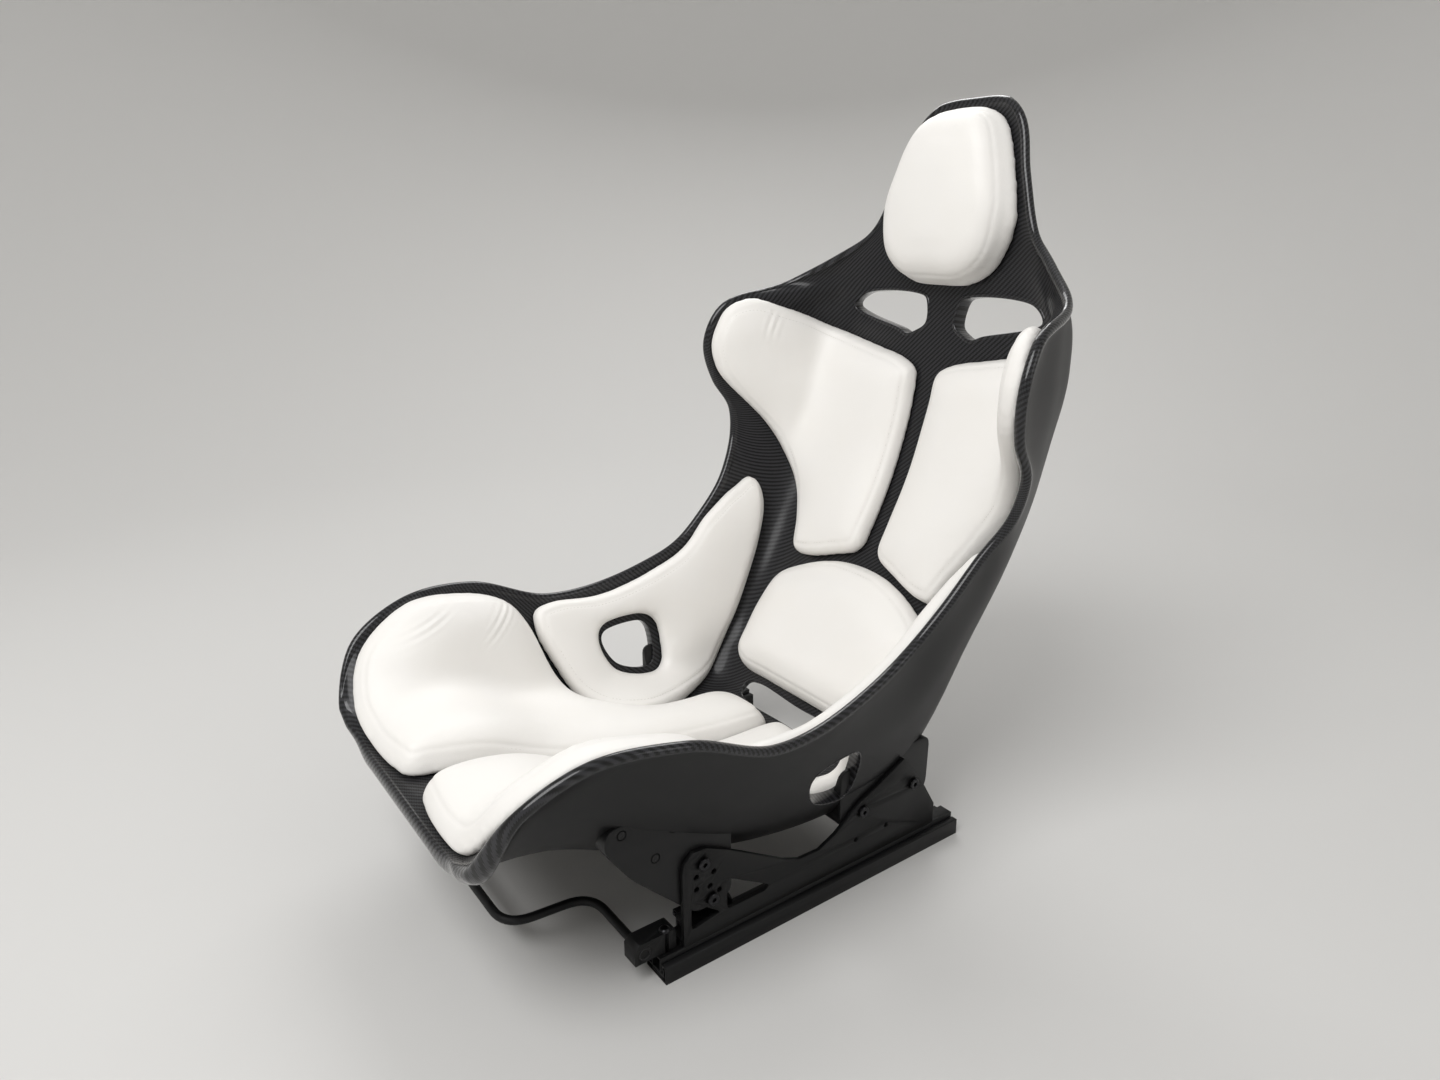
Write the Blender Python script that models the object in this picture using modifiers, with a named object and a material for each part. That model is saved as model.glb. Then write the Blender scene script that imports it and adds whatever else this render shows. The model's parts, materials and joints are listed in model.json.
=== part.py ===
"""Carbon-fibre bucket racing seat on side mounts and sliding floor rails.

Metres, +Z up.  The seat faces -Y, +X is the sitter's left, and the floor is z = 0.
A point of the shell is given by two lengths: the station, measured along the middle of the
seat from the front lip to the top of the head, and the girth, measured from the middle of
the seat sideways across the floor and up the wing.
"""

import math

import bmesh
import bpy
import numpy as np
from mathutils import Matrix, Vector

# ---------------------------------------------------------------- driving dimensions
CLEARANCE = 0.0003          # between pieces that touch

# Seat shell: (middle y, middle z, flat half width, outer edge of the rim x, y, z) from lip to head.
SHELL_SECTIONS = (
    (-0.425, 0.175, 0.150, 0.200, -0.425, 0.190),
    (-0.390, 0.176, 0.158, 0.230, -0.387, 0.263),
    (-0.328, 0.168, 0.165, 0.2425, -0.319, 0.298),
    (-0.223, 0.124, 0.175, 0.257, -0.223, 0.295),
    (-0.103, 0.094, 0.186, 0.255, -0.113, 0.252),
    (0.037, 0.079, 0.190, 0.240, 0.032, 0.269),
    (0.112, 0.083, 0.190, 0.233, 0.095, 0.295),
    (0.162, 0.134, 0.190, 0.236, 0.140, 0.331),
    (0.217, 0.219, 0.190, 0.244, 0.188, 0.384),
    (0.274, 0.314, 0.192, 0.264, 0.217, 0.437),
    (0.320, 0.404, 0.195, 0.272, 0.218, 0.474),
    (0.349, 0.489, 0.202, 0.278, 0.192, 0.517),
    (0.370, 0.579, 0.205, 0.2845, 0.181, 0.569),
    (0.379, 0.634, 0.190, 0.279, 0.207, 0.624),
    (0.3825, 0.664, 0.165, 0.250, 0.297, 0.650),
    (0.3865, 0.704, 0.140, 0.190, 0.346, 0.683),
    (0.392, 0.749, 0.100, 0.143, 0.374, 0.719),
    (0.404, 0.824, 0.075, 0.108, 0.390, 0.794),
    (0.414, 0.874, 0.055, 0.085, 0.404, 0.859),
    (0.416, 0.894, 0.035, 0.058, 0.411, 0.889),
)
SHELL_CORNER = 0.055        # length of the bend between flat and wing
RIM_BEAD = 0.006            # how far the rolled rim stands out from the edge of the inner face
RIM_BEAD_ANGLES = (45, 90, 135)
RIM_CORNER = 0.012          # rounding of the rim's corners at the lip and at the top of the head
CORNER_ROWS = (0.0, 0.12, 0.45, 1.0)    # rows round a corner, as shares of its radius
PAN_WALL = 0.006            # laminate under the pads of the pan
SIDE_WALL = 0.016           # sandwich wall of the wings
BACK_WALL = 0.020           # sandwich wall of the back
RIM_WALL = 0.011            # wall just inside the rim's bead
HEAD_WALL = 0.010
LIP_WALL = 0.022            # rolled front lip
LIP_LENGTH = 0.045          # station where the lip has thinned to the pan wall
LIP_SETBACK = 0.006         # the lip's middle lies this far behind its corners
LIP_BLEND = (0.62, 0.90)    # shares of the girth between which the lip comes forward
BACK_STEP = 0.650           # station where the outer skin of the back ends
BACK_STEP_LENGTH = 0.010
SHOULDER_STATION = 1.19     # above this the wall thins towards the head
HEAD_STATION = 1.30
SHELL_ROWS = 38
ROW_SPACE = 0.012           # least distance between an even row and a row of its own
WALL_BLEND = (0.40, 0.56)   # shares of the girth between which middle wall turns into side wall
RIM_BLEND = (0.74, 0.97)    # and side wall thins to the rim's
SHELL_HALF_COLUMNS = 10

# Sides of round pieces
ROUND_SIDES = 16
BOLT_SIDES = 12
BORE_SIDES = 10
SMALL_SIDES = 8

# Openings, as (station, girth) outlines for the sitter's left side
PLUG_REACH = 0.035          # a cutter runs this far past the inner surface, each way
HARNESS_OPENING = ((1.162, 0.166), (1.181, 0.150), (1.184, 0.036), (1.176, 0.029), (1.148, 0.026),
                   (1.136, 0.042), (1.131, 0.058), (1.137, 0.075))
LAP_OPENING = ((0.394, 0.270), (0.402, 0.284), (0.456, 0.290), (0.467, 0.280), (0.470, 0.252),
               (0.464, 0.227), (0.453, 0.221), (0.408, 0.235))
STRAP_SLOT = ((0.551, 0.090), (0.560, 0.112), (0.578, 0.112), (0.584, 0.095), (0.582, 0.0),
              (0.584, -0.095), (0.578, -0.112), (0.560, -0.112), (0.551, -0.090), (0.551, 0.0))

# Pads, as (station, girth) outlines for the sitter's left side
HEAD_PAD = ((1.196, 0.0), (1.199, 0.050), (1.219, 0.084), (1.258, 0.106), (1.305, 0.113), (1.345, 0.106),
            (1.385, 0.088), (1.411, 0.064), (1.423, 0.030), (1.425, 0.0))
SHOULDER_PAD = ((1.040, 0.014), (1.085, 0.020), (1.100, 0.045), (1.112, 0.100), (1.132, 0.190), (1.165, 0.265),
                (1.181, 0.328), (1.167, 0.373), (1.125, 0.391), (1.050, 0.368), (0.983, 0.313), (0.917, 0.244),
                (0.870, 0.190), (0.822, 0.158), (0.782, 0.138), (0.780, 0.112), (0.796, 0.060), (0.816, 0.018),
                (0.860, 0.012), (0.950, 0.012))
LUMBAR_PAD = ((0.800, 0.0), (0.795, 0.050), (0.775, 0.105), (0.745, 0.148), (0.700, 0.164), (0.645, 0.166),
              (0.610, 0.158), (0.592, 0.128), (0.590, 0.070), (0.590, 0.0))
HIP_PAD = ((0.812, 0.262), (0.800, 0.238), (0.741, 0.214), (0.660, 0.199), (0.585, 0.188), (0.530, 0.168),
           (0.467, 0.137), (0.410, 0.126), (0.360, 0.148), (0.328, 0.186), (0.307, 0.238), (0.292, 0.288),
           (0.300, 0.321), (0.340, 0.337), (0.400, 0.340), (0.470, 0.357), (0.547, 0.380), (0.610, 0.376),
           (0.680, 0.350), (0.740, 0.318), (0.792, 0.290))
HIP_PAD_HOLE = ((0.388, 0.268), (0.398, 0.290), (0.458, 0.297), (0.474, 0.284), (0.477, 0.252), (0.471, 0.222),
                (0.454, 0.214), (0.402, 0.229))
THIGH_PAD = ((0.016, 0.060), (0.013, 0.120), (0.016, 0.182), (0.036, 0.246), (0.083, 0.292), (0.150, 0.322),
             (0.215, 0.338), (0.257, 0.331), (0.281, 0.301), (0.299, 0.240), (0.320, 0.188), (0.351, 0.148),
             (0.398, 0.119), (0.450, 0.115), (0.500, 0.112), (0.528, 0.090), (0.536, 0.050), (0.530, 0.012),
             (0.400, 0.008), (0.200, 0.008), (0.060, 0.010), (0.026, 0.022))
PAD_FOOT = -0.010           # a pad is drawn down to here, then cut to lie on the shell
BED_DEPTH = 0.020
PAD_EDGE = 0.012            # height of a pad's side where it is widest
PAD_DRAW = 0.004            # how far a pad's side is drawn in at its foot and its top seam
PAD_SEAM = 0.020            # height of the seam round the top of a pad
PAD_GAP = 0.0015            # each pad stops this far inside its drawn outline
PAD_POINTS = 36
PAD_RINGS = (0.92, 0.76, 0.52, 0.26)        # rings of a pad's top, as shares of the way out to its seam
HOLED_RINGS = (0.90, 0.70, 0.45, 0.22)      # and of a pad with a hole
UNDER_RINGS = (0.22, 0.44, 0.68)            # rings of its underside, as shares of the way in
HEAD_PAD_HEIGHT = 0.052
SHOULDER_PAD_HEIGHT = 0.032
LUMBAR_PAD_HEIGHT = 0.036
HIP_PAD_HEIGHT = 0.028
THIGH_PAD_HEIGHT = 0.044
CROWN_REACH = 0.050         # distance from the edge at which a pad reaches its full height
HEAD_CENTRE = (1.315, 0.0)
LUMBAR_CENTRE = (0.690, 0.0)
THIGH_CENTRE = (0.255, 0.120)
SHOULDER_CENTRE = (0.990, 0.170)

# Floor rails and sliders, profiles in (x from the rail's middle, z)
RAIL_X = 0.212              # rail's middle
RAIL_LENGTH = 0.440
RAIL_LEAD = 0.029           # rail's front end, ahead of the side mount
SHEET = 0.002
LOWER_HALF_WIDTH = 0.019
LOWER_HEIGHT = 0.0205
LOWER_MOUTH = 0.0105        # half width between the turned-in lips
LOWER_LIP_DROP = 0.0080
LOWER_LIP = 0.0017          # thickness of the rolled lip
FLOOR_HOLE_RADIUS = 0.0045
FLOOR_HOLE_INSET = 0.040    # from the rail's end
UPPER_HALF_WIDTH = 0.009
UPPER_TOP = 0.026
UPPER_FOOT = 0.007          # underside of the sliding feet
UPPER_FOOT_REACH = 0.015
UPPER_LIP = 0.0155
ROLLER_LENGTH = 0.026
ROLLER_COUNT = 4
CAGE_THICKNESS = 0.0014
CAGE_WIDTH = 0.024
SEAT_TRAVEL = 0.100         # each way
STOP_LENGTH = 0.005
STOP_INSET = 0.001          # from the rail's end
STOP_WIDTH = 0.020
STOP_GAP = 0.0006           # between the lower and upper stops as they pass

# Side mounts: flat steel plates with a foot, outlines in (y, z)
MOUNT_X = RAIL_X + 0.005    # inner face of the plate
MOUNT_PLATE = 0.005
MOUNT_FOOT = 0.004
MOUNT_FOOT_WIDTH = 0.024
MOUNT_FRONT = -0.206
MOUNT_REAR = 0.169
MOUNT_TOP = ((0.150, 0.086), (0.131, 0.114), (0.112, 0.137), (0.072, 0.117), (0.041, 0.104),
             (0.004, 0.077), (-0.020, 0.066), (-0.049, 0.067), (-0.071, 0.076), (-0.106, 0.097),
             (-0.146, 0.121), (-0.176, 0.136), (-0.192, 0.137), (-0.203, 0.128))
MOUNT_REAR_CORNER = 0.054
MOUNT_FRONT_CORNER = 0.116
MOUNT_WINDOWS = (((-0.196, 0.078), (-0.158, 0.049), (-0.196, 0.043)),
                 ((-0.150, 0.088), (-0.092, 0.053), (-0.098, 0.048), (-0.150, 0.048)))
WINDOW_CORNER = 0.005
MOUNT_ADJUST_HOLES = ((-0.189, 0.106), (-0.167, 0.104), (-0.172, 0.088), (-0.189, 0.091), (-0.160, 0.078),
                      (0.086, 0.056), (0.037, 0.056))
MOUNT_BOLTS = ((-0.181, 0.120), (-0.170, 0.072), (0.128, 0.098), (0.045, 0.092))
ADJUST_HOLE_RADIUS = 0.0035
BOLT_RADIUS = 0.0039
BOLT_HOLE_RADIUS = 0.0045
BOLT_HEAD_RADIUS = 0.0070
BOLT_HEAD = 0.0045
BOLT_CROWN = 0.6            # flat top of a bolt's head, as a share of its radius
BOLT_LENGTH = 0.016         # into the boss, past the plate
SMALL_HEAD_RADIUS = 0.0062
SMALL_HEAD = 0.0040
REAR_BOLT_INSET = 0.049     # rear foot bolt, ahead of the mount's rear end
FOOT_BOLT_REACH = 0.0004    # past the upper rail's sheet

# Moulded bosses of the shell, flat on the side mounts, outlines in (y, z)
FRONT_BOSS = ((-0.292, 0.176), (-0.286, 0.198), (-0.190, 0.198), (-0.140, 0.150), (-0.140, 0.062),
              (-0.186, 0.056), (-0.262, 0.132))
REAR_BOSS = ((0.015, 0.150), (0.160, 0.150), (0.158, 0.082), (0.140, 0.070), (0.030, 0.070), (0.015, 0.080))
BOSSES = (("front", FRONT_BOSS, (0.08, 0.42)), ("rear", REAR_BOSS, (0.36, 0.72)))  # with the stations they span
BOSS_DEPTH = 0.045          # from the mount's face into the wall
BOSS_CORNER = 0.010
BORE_SPARE = 0.006          # bolt bores run this much past the bolt
INSERT_PLACES = ((-0.271, 0.188), (-0.212, 0.172), (-0.234, 0.146))
INSERT_RADIUS = 0.0062
INSERT_BORE = 0.0040
INSERT_LENGTH = 0.012

# Release handle and its bearing blocks
HANDLE_RADIUS = 0.005
HANDLE_ARM_X = 0.102
HANDLE_FORWARD = 0.102      # from the pivot line to the grip bar
HANDLE_RISE = 0.008
HANDLE_BEND = 0.032
BLOCK_INNER_X = RAIL_X - 0.018
BLOCK_DEPTH = 0.022
BLOCK_OVERHANG = 0.027      # in front of the rail
BLOCK_SEAT = 0.0235         # on the rail
BLOCK_HEIGHT = 0.024
BLOCK_CORNER = 0.006
BLOCK_SCREW_INSET = 0.0115  # behind the rail's front end
PIVOT_OVERHANG = 0.015      # pivot line, in front of the rail
PIVOT_RISE = 0.0105         # pivot line, above the block's base
BUSH_WALL = 0.0018
BUSH_FLANGE = 0.0015
RUNNING_GAP = 0.0004

# Latches: a toothed plate on a pin beside each lower rail
LATCH_PIN_RADIUS = 0.0025
LATCH_PIN_SPARE = 0.002     # pin past the ears
LATCH_BARREL_RADIUS = 0.0050
LATCH_OFFSET = 0.0075       # pin's line, inboard of the lower rail's side
LATCH_HEIGHT = 0.0400
LATCH_INSET = 0.016         # behind the side mount's front end
LATCH_LENGTH = 0.060
LATCH_TOOTH = 0.009
LATCH_TOOTH_PITCH = 0.020
LATCH_TOOTH_HEIGHT = 0.0055
LATCH_TOOTH_GAP = 0.0006    # between the teeth and the lower rail's side
LATCH_TEETH = 3
LATCH_BOTTOM = 0.0080
LATCH_WEB = 0.003
BRACKET_WIDTH = 0.0255
EAR = 0.003
EAR_ARM = 0.004             # height of an ear's arm over the bracket's base

SIDES = (("left", 1), ("right", -1))


# ---------------------------------------------------------------- scene and materials
def clear_scene():
    for old in list(bpy.data.objects):
        bpy.data.objects.remove(old, do_unlink=True)


def new_collection(name, hidden=False):
    collection = bpy.data.collections.new(name)
    bpy.context.scene.collection.children.link(collection)
    collection.hide_render = hidden
    return collection


def new_material(name, colour, roughness, metallic=0.0):
    material = bpy.data.materials.new(name)
    material.use_nodes = True
    shader = material.node_tree.nodes["Principled BSDF"]
    shader.inputs["Base Color"].default_value = (*colour, 1.0)
    shader.inputs["Roughness"].default_value = roughness
    shader.inputs["Metallic"].default_value = metallic
    return material


clear_scene()
SEAT = new_collection("racing_seat")
CUTTERS = new_collection("cutters", hidden=True)
CARBON = new_material("carbon_laminate", (0.020, 0.020, 0.022), 0.28)
LEATHER = new_material("white_leather", (0.88, 0.87, 0.84), 0.55)
STEEL = new_material("black_coated_steel", (0.018, 0.018, 0.019), 0.55, 0.4)
ZINC = new_material("zinc_plated_steel", (0.45, 0.45, 0.46), 0.35, 1.0)
NYLON = new_material("black_nylon", (0.03, 0.03, 0.03), 0.6)


def add_object(name, data, material, collection=None):
    item = bpy.data.objects.new(name, data)
    (collection or SEAT).objects.link(item)
    if material:
        data.materials.append(material)
    return item


def mesh_object(name, points, faces, material, collection=None):
    """A mesh from points and faces, its faces turned outwards."""
    mesh = bpy.data.meshes.new(name)
    mesh.from_pydata([tuple(point) for point in points], [], faces)
    solid = bmesh.new()
    solid.from_mesh(mesh)
    bmesh.ops.recalc_face_normals(solid, faces=solid.faces)
    solid.to_mesh(mesh)
    solid.free()
    return add_object(name, mesh, material, collection)


def as_mesh(item, weld=1e-5):
    """Replaces an object by the welded mesh that it evaluates to."""
    bpy.context.view_layer.update()
    graph = bpy.context.evaluated_depsgraph_get()
    mesh = bpy.data.meshes.new_from_object(item.evaluated_get(graph))
    name, matrix, home = item.name, item.matrix_world.copy(), item.users_collection[0]
    bpy.data.objects.remove(item, do_unlink=True)
    solid = bmesh.new()
    solid.from_mesh(mesh)
    bmesh.ops.transform(solid, matrix=matrix, verts=solid.verts)
    bmesh.ops.remove_doubles(solid, verts=solid.verts, dist=weld)
    bmesh.ops.recalc_face_normals(solid, faces=solid.faces)
    solid.to_mesh(mesh)
    solid.free()
    made = bpy.data.objects.new(name, mesh)
    home.objects.link(made)
    return made


def as_cutter(item):
    """Moves an object to the cutters."""
    for home in list(item.users_collection):
        home.objects.unlink(item)
    CUTTERS.objects.link(item)
    item.hide_render = True
    item.display_type = "WIRE"
    return item


def combine(item, other, operation):
    modifier = item.modifiers.new(operation.lower(), "BOOLEAN")
    modifier.operation = operation
    modifier.solver = "EXACT"
    modifier.object = as_cutter(other)


def cut(item, other):
    combine(item, other, "DIFFERENCE")


def join(item, other):
    combine(item, other, "UNION")


# ---------------------------------------------------------------- basic shapes
def arc(centre, radius, start, end, count):
    """Points of a circular arc, angles in degrees."""
    return [(centre[0] + radius * math.cos(math.radians(angle)), centre[1] + radius * math.sin(math.radians(angle)))
            for angle in np.linspace(start, end, count)]


def circle(centre, radius, count=ROUND_SIDES):
    return arc(centre, radius, 0.0, 360.0 * (count - 1) / count, count)


def rounded(points, radius, steps=3):
    """A closed outline with each corner replaced by a curve that starts `radius` before it."""
    made = []
    total = len(points)
    for index, corner in enumerate(points):
        corner = np.array(corner)
        before = np.array(points[index - 1]) - corner
        after = np.array(points[(index + 1) % total]) - corner
        reach = min(radius, 0.45 * np.linalg.norm(before), 0.45 * np.linalg.norm(after))
        start = corner + before / np.linalg.norm(before) * reach
        end = corner + after / np.linalg.norm(after) * reach
        for step in np.linspace(0.0, 1.0, steps):
            made.append(tuple(start * (1 - step) ** 2 + 2 * corner * step * (1 - step) + end * step ** 2))
    return made


def prism(name, outlines, start, end, axis, material, collection=None):
    """A flat outline, with any holes, extruded along X or Y from start to end.

    Outlines are (y, z) points for X and (x, z) points for Y."""
    curve = bpy.data.curves.new(name, "CURVE")
    curve.dimensions = "2D"
    curve.fill_mode = "BOTH"
    curve.extrude = abs(end - start) / 2
    for outline in outlines:
        spline = curve.splines.new("POLY")
        spline.points.add(len(outline) - 1)
        spline.use_cyclic_u = True
        for point, (across, up) in zip(spline.points, outline):
            point.co = (across, up, 0.0, 1.0)
    item = add_object(name, curve, material, collection)
    middle = (start + end) / 2
    if axis == "X":
        item.matrix_world = Matrix(((0, 0, 1, middle), (1, 0, 0, 0), (0, 1, 0, 0), (0, 0, 0, 1)))
    else:
        item.matrix_world = Matrix(((1, 0, 0, 0), (0, 0, -1, middle), (0, 1, 0, 0), (0, 0, 0, 1)))
    return as_mesh(item)


def box(name, low, high, material, collection=None):
    solid = bmesh.new()
    bmesh.ops.create_cube(solid, size=1.0)
    size = Vector(high) - Vector(low)
    centre = (Vector(high) + Vector(low)) / 2
    bmesh.ops.scale(solid, vec=size, verts=solid.verts)
    bmesh.ops.translate(solid, vec=centre, verts=solid.verts)
    mesh = bpy.data.meshes.new(name)
    solid.to_mesh(mesh)
    solid.free()
    return add_object(name, mesh, material, collection)


def stand(item, place, axis):
    """Puts an object's own Z along an axis, with its origin at a place."""
    item.location = place
    item.rotation_euler = Vector((0, 0, 1)).rotation_difference(Vector(axis)).to_euler()
    return item


def smooth_round(item):
    item.data.shade_smooth()
    item.data.set_sharp_from_angle(angle=math.radians(40))
    return item


def turned(name, profile, place, axis, material, collection=None, sides=ROUND_SIDES, closed=False):
    """A profile of (radius, length), run down its outer side, turned about an axis by a Screw modifier."""
    mesh = bpy.data.meshes.new(name)
    edges = [(index, index + 1) for index in range(len(profile) - 1)]
    if closed:
        edges.append((len(profile) - 1, 0))
    mesh.from_pydata([(radius, 0.0, length) for radius, length in profile], edges, [])
    item = stand(add_object(name, mesh, material, collection), place, axis)
    screw = item.modifiers.new("turn", "SCREW")
    screw.steps = sides
    screw.render_steps = sides
    screw.use_merge_vertices = True
    screw.merge_threshold = 1e-5
    screw.use_smooth_shade = True
    return item


def cylinder(name, place, axis, radius, length, material, collection=None, sides=ROUND_SIDES):
    """A closed cylinder from a place along an axis."""
    solid = bmesh.new()
    bmesh.ops.create_cone(solid, cap_ends=True, segments=sides, radius1=radius, radius2=radius, depth=length)
    bmesh.ops.translate(solid, vec=(0.0, 0.0, length / 2), verts=solid.verts)
    mesh = bpy.data.meshes.new(name)
    solid.to_mesh(mesh)
    solid.free()
    return smooth_round(stand(add_object(name, mesh, material, collection), place, axis))


def carry(name, place, items):
    """Parents objects to an empty at a place, where they are."""
    empty = bpy.data.objects.new(name, None)
    SEAT.objects.link(empty)
    empty.location = place
    empty.empty_display_size = 0.03
    bpy.context.view_layer.update()
    for item in items:
        item.parent = empty
        item.matrix_parent_inverse = empty.matrix_world.inverted()
    return empty


def bent_path(points, bend, steps=5):
    """A wire's route with a smooth bend at each inner corner."""
    points = [Vector(point) for point in points]
    made = [points[0]]
    for before, corner, after in zip(points, points[1:], points[2:]):
        reach = min(bend, 0.48 * (before - corner).length, 0.48 * (after - corner).length)
        start = corner + (before - corner).normalized() * reach
        end = corner + (after - corner).normalized() * reach
        for step in np.linspace(0.0, 1.0, steps):
            made.append(start * (1 - step) ** 2 + 2 * corner * step * (1 - step) + end * step ** 2)
    made.append(points[-1])
    return made


def tube(name, path, radius, material, resolution=2):
    curve = bpy.data.curves.new(name, "CURVE")
    curve.dimensions = "3D"
    curve.bevel_depth = radius
    curve.bevel_resolution = resolution
    curve.use_fill_caps = True
    spline = curve.splines.new("POLY")
    spline.points.add(len(path) - 1)
    for point, place in zip(spline.points, path):
        point.co = (*place, 1.0)
    return add_object(name, curve, material)


# ---------------------------------------------------------------- the shell's surface
def cubic(knots, values, tangents, places):
    steps = np.diff(knots)
    index = np.clip(np.searchsorted(knots, places, side="right") - 1, 0, len(knots) - 2)
    width = steps[index][:, None]
    part = ((places - knots[index]) / steps[index])[:, None]
    return (values[index] * (1 + 2 * part) * (1 - part) ** 2 + tangents[index] * width * part * (1 - part) ** 2
            + values[index + 1] * part ** 2 * (3 - 2 * part)
            + tangents[index + 1] * width * part ** 2 * (part - 1))


def hermite(knots, values, places):
    """A smooth curve through values at knots, read at places, with tangents from the neighbours."""
    steps = np.diff(knots)
    slopes = np.diff(values, axis=0) / steps[:, None]
    tangents = np.empty_like(values)
    tangents[0], tangents[-1] = slopes[0], slopes[-1]
    tangents[1:-1] = (slopes[:-1] * steps[1:, None] + slopes[1:] * steps[:-1, None]) / (steps[1:] + steps[:-1])[:, None]
    return cubic(knots, values, tangents, places)


def rising(knots, values, places):
    """A curve through rising values that never turns back: its tangents are harmonic means."""
    slopes = np.diff(values) / np.diff(knots)
    tangents = np.concatenate((slopes[:1], 2 * slopes[:-1] * slopes[1:] / (slopes[:-1] + slopes[1:]), slopes[-1:]))
    return cubic(knots, values[:, None], tangents[:, None], places)[:, 0]


def smooth_step(value, low, high):
    part = np.clip((value - low) / (high - low), 0.0, 1.0)
    return part * part * (3 - 2 * part)


def lengths_along(points):
    return np.concatenate(([0.0], np.cumsum(np.linalg.norm(np.diff(points, axis=0), axis=1))))


def unit(vectors):
    return vectors / np.linalg.norm(vectors, axis=-1, keepdims=True)


SECTIONS = np.array(SHELL_SECTIONS)
KNOTS = lengths_along(SECTIONS[:, :2])
RIM_KNOTS = lengths_along(SECTIONS[:, 3:])
SHELL_LENGTH = KNOTS[-1]
TABLE_ROWS = 241
TABLE_COLUMNS = 41
BEND_STEPS = 24             # points of the bend between pan and wing
NORMAL_PASSES = 8           # times that each row's directions are evened out with its neighbours'


def half_section(row):
    """Points from the middle to the rim, evenly spaced: flat, a bend, then the leaning wing."""
    middle = np.array((0.0, row[0], row[1]))
    corner = middle + np.array((row[2], 0.0, 0.0))
    rim = np.array((row[3], row[4], row[5]))
    flat, wing = row[2], np.linalg.norm(rim - corner)
    reach = min(SHELL_CORNER, 0.9 * flat, 0.8 * wing)
    start = corner + (middle - corner) * reach / flat
    end = corner + (rim - corner) * reach / wing
    part = np.linspace(0.0, 1.0, BEND_STEPS)[:, None]
    bend = start * (1 - part) ** 2 + 2 * corner * part * (1 - part) + end * part ** 2
    points = np.vstack((middle, bend, rim))
    along = lengths_along(points)
    even = np.linspace(0.0, along[-1], TABLE_COLUMNS)
    return np.stack([np.interp(even, along, points[:, axis]) for axis in range(3)], axis=1), along[-1]


def shell_table():
    """The shell's inner surface as a grid of points and normals, and its girth at each station."""
    stations = np.linspace(0.0, SHELL_LENGTH, TABLE_ROWS)
    middles = hermite(KNOTS, SECTIONS[:, :3], stations)
    rims = hermite(RIM_KNOTS, SECTIONS[:, 3:], rising(KNOTS, RIM_KNOTS, stations))
    halves = [half_section(row) for row in np.hstack((middles, rims))]
    points = np.stack([half[0] for half in halves])
    girths = np.array([half[1] for half in halves])
    normals = unit(np.cross(np.gradient(points, axis=1), np.gradient(points, axis=0)))
    normals[:, 0, 0] = 0.0
    for _ in range(NORMAL_PASSES):
        normals[1:-1] = (normals[:-2] + 2 * normals[1:-1] + normals[2:]) / 4
    return points, unit(normals), girths


TABLE_POINTS, TABLE_NORMALS, TABLE_GIRTHS = shell_table()


def girth_at(stations):
    return np.interp(stations, np.linspace(0.0, SHELL_LENGTH, TABLE_ROWS), TABLE_GIRTHS)


def edge_at(stations):
    """Girth of the inner face's edge: the rim less its bead, drawn in round the four corners."""
    end = np.minimum(stations, SHELL_LENGTH - stations) - RIM_BEAD
    short = np.clip(RIM_CORNER - end, 0.0, RIM_CORNER)
    return girth_at(stations) - RIM_BEAD - RIM_CORNER + np.sqrt(RIM_CORNER ** 2 - short ** 2)


def on_shell(stations, girths, heights=0.0):
    """Points at a height above the shell's inner surface, towards the sitter."""
    stations, girths = np.broadcast_arrays(np.asarray(stations, float), np.asarray(girths, float))
    row = np.clip(stations / SHELL_LENGTH * (TABLE_ROWS - 1), 0.0, TABLE_ROWS - 1.001)
    column = np.clip(np.abs(girths) / girth_at(stations) * (TABLE_COLUMNS - 1), 0.0, TABLE_COLUMNS - 1.001)
    i, j = row.astype(int), column.astype(int)
    p, q = (row - i)[..., None], (column - j)[..., None]

    def read(table):
        return ((table[i, j] * (1 - q) + table[i, j + 1] * q) * (1 - p)
                + (table[i + 1, j] * (1 - q) + table[i + 1, j + 1] * q) * p)

    points = read(TABLE_POINTS) + unit(read(TABLE_NORMALS)) * np.asarray(heights)[..., None]
    points[..., 0] *= np.where(girths < 0, -1.0, 1.0)
    return points


def shell_wall(stations, parts):
    """Wall thickness: parts runs from 0 in the middle to 1 at the rim."""
    lip = 1 - smooth_step(stations, 0.0, LIP_LENGTH)
    back = smooth_step(stations, BACK_STEP, BACK_STEP + BACK_STEP_LENGTH)
    head = smooth_step(stations, SHOULDER_STATION, HEAD_STATION)
    middle = PAN_WALL + (BACK_WALL - PAN_WALL) * back + (HEAD_WALL - BACK_WALL) * head
    side = SIDE_WALL + (HEAD_WALL - SIDE_WALL) * head
    side = side + (np.minimum(side, RIM_WALL) - side) * smooth_step(parts, *RIM_BLEND)
    wall = middle + (side - middle) * smooth_step(parts, *WALL_BLEND)
    return wall + (LIP_WALL - wall) * lip


# ---------------------------------------------------------------- the shell
def shell_rows():
    """Stations of the shell's rows, close together at both ends and where the outer skin steps in."""
    rows = np.linspace(0.0, SHELL_LENGTH, SHELL_ROWS)
    corner = RIM_BEAD + RIM_CORNER * np.array(CORNER_ROWS)
    own = np.concatenate((corner, (BACK_STEP, BACK_STEP + BACK_STEP_LENGTH), SHELL_LENGTH - corner))
    apart = np.abs(rows[:, None] - own).min(axis=1) > ROW_SPACE
    inside = (rows > corner[-1]) & (rows < SHELL_LENGTH - corner[-1])
    return np.sort(np.concatenate((rows[apart & inside], own)))


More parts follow.
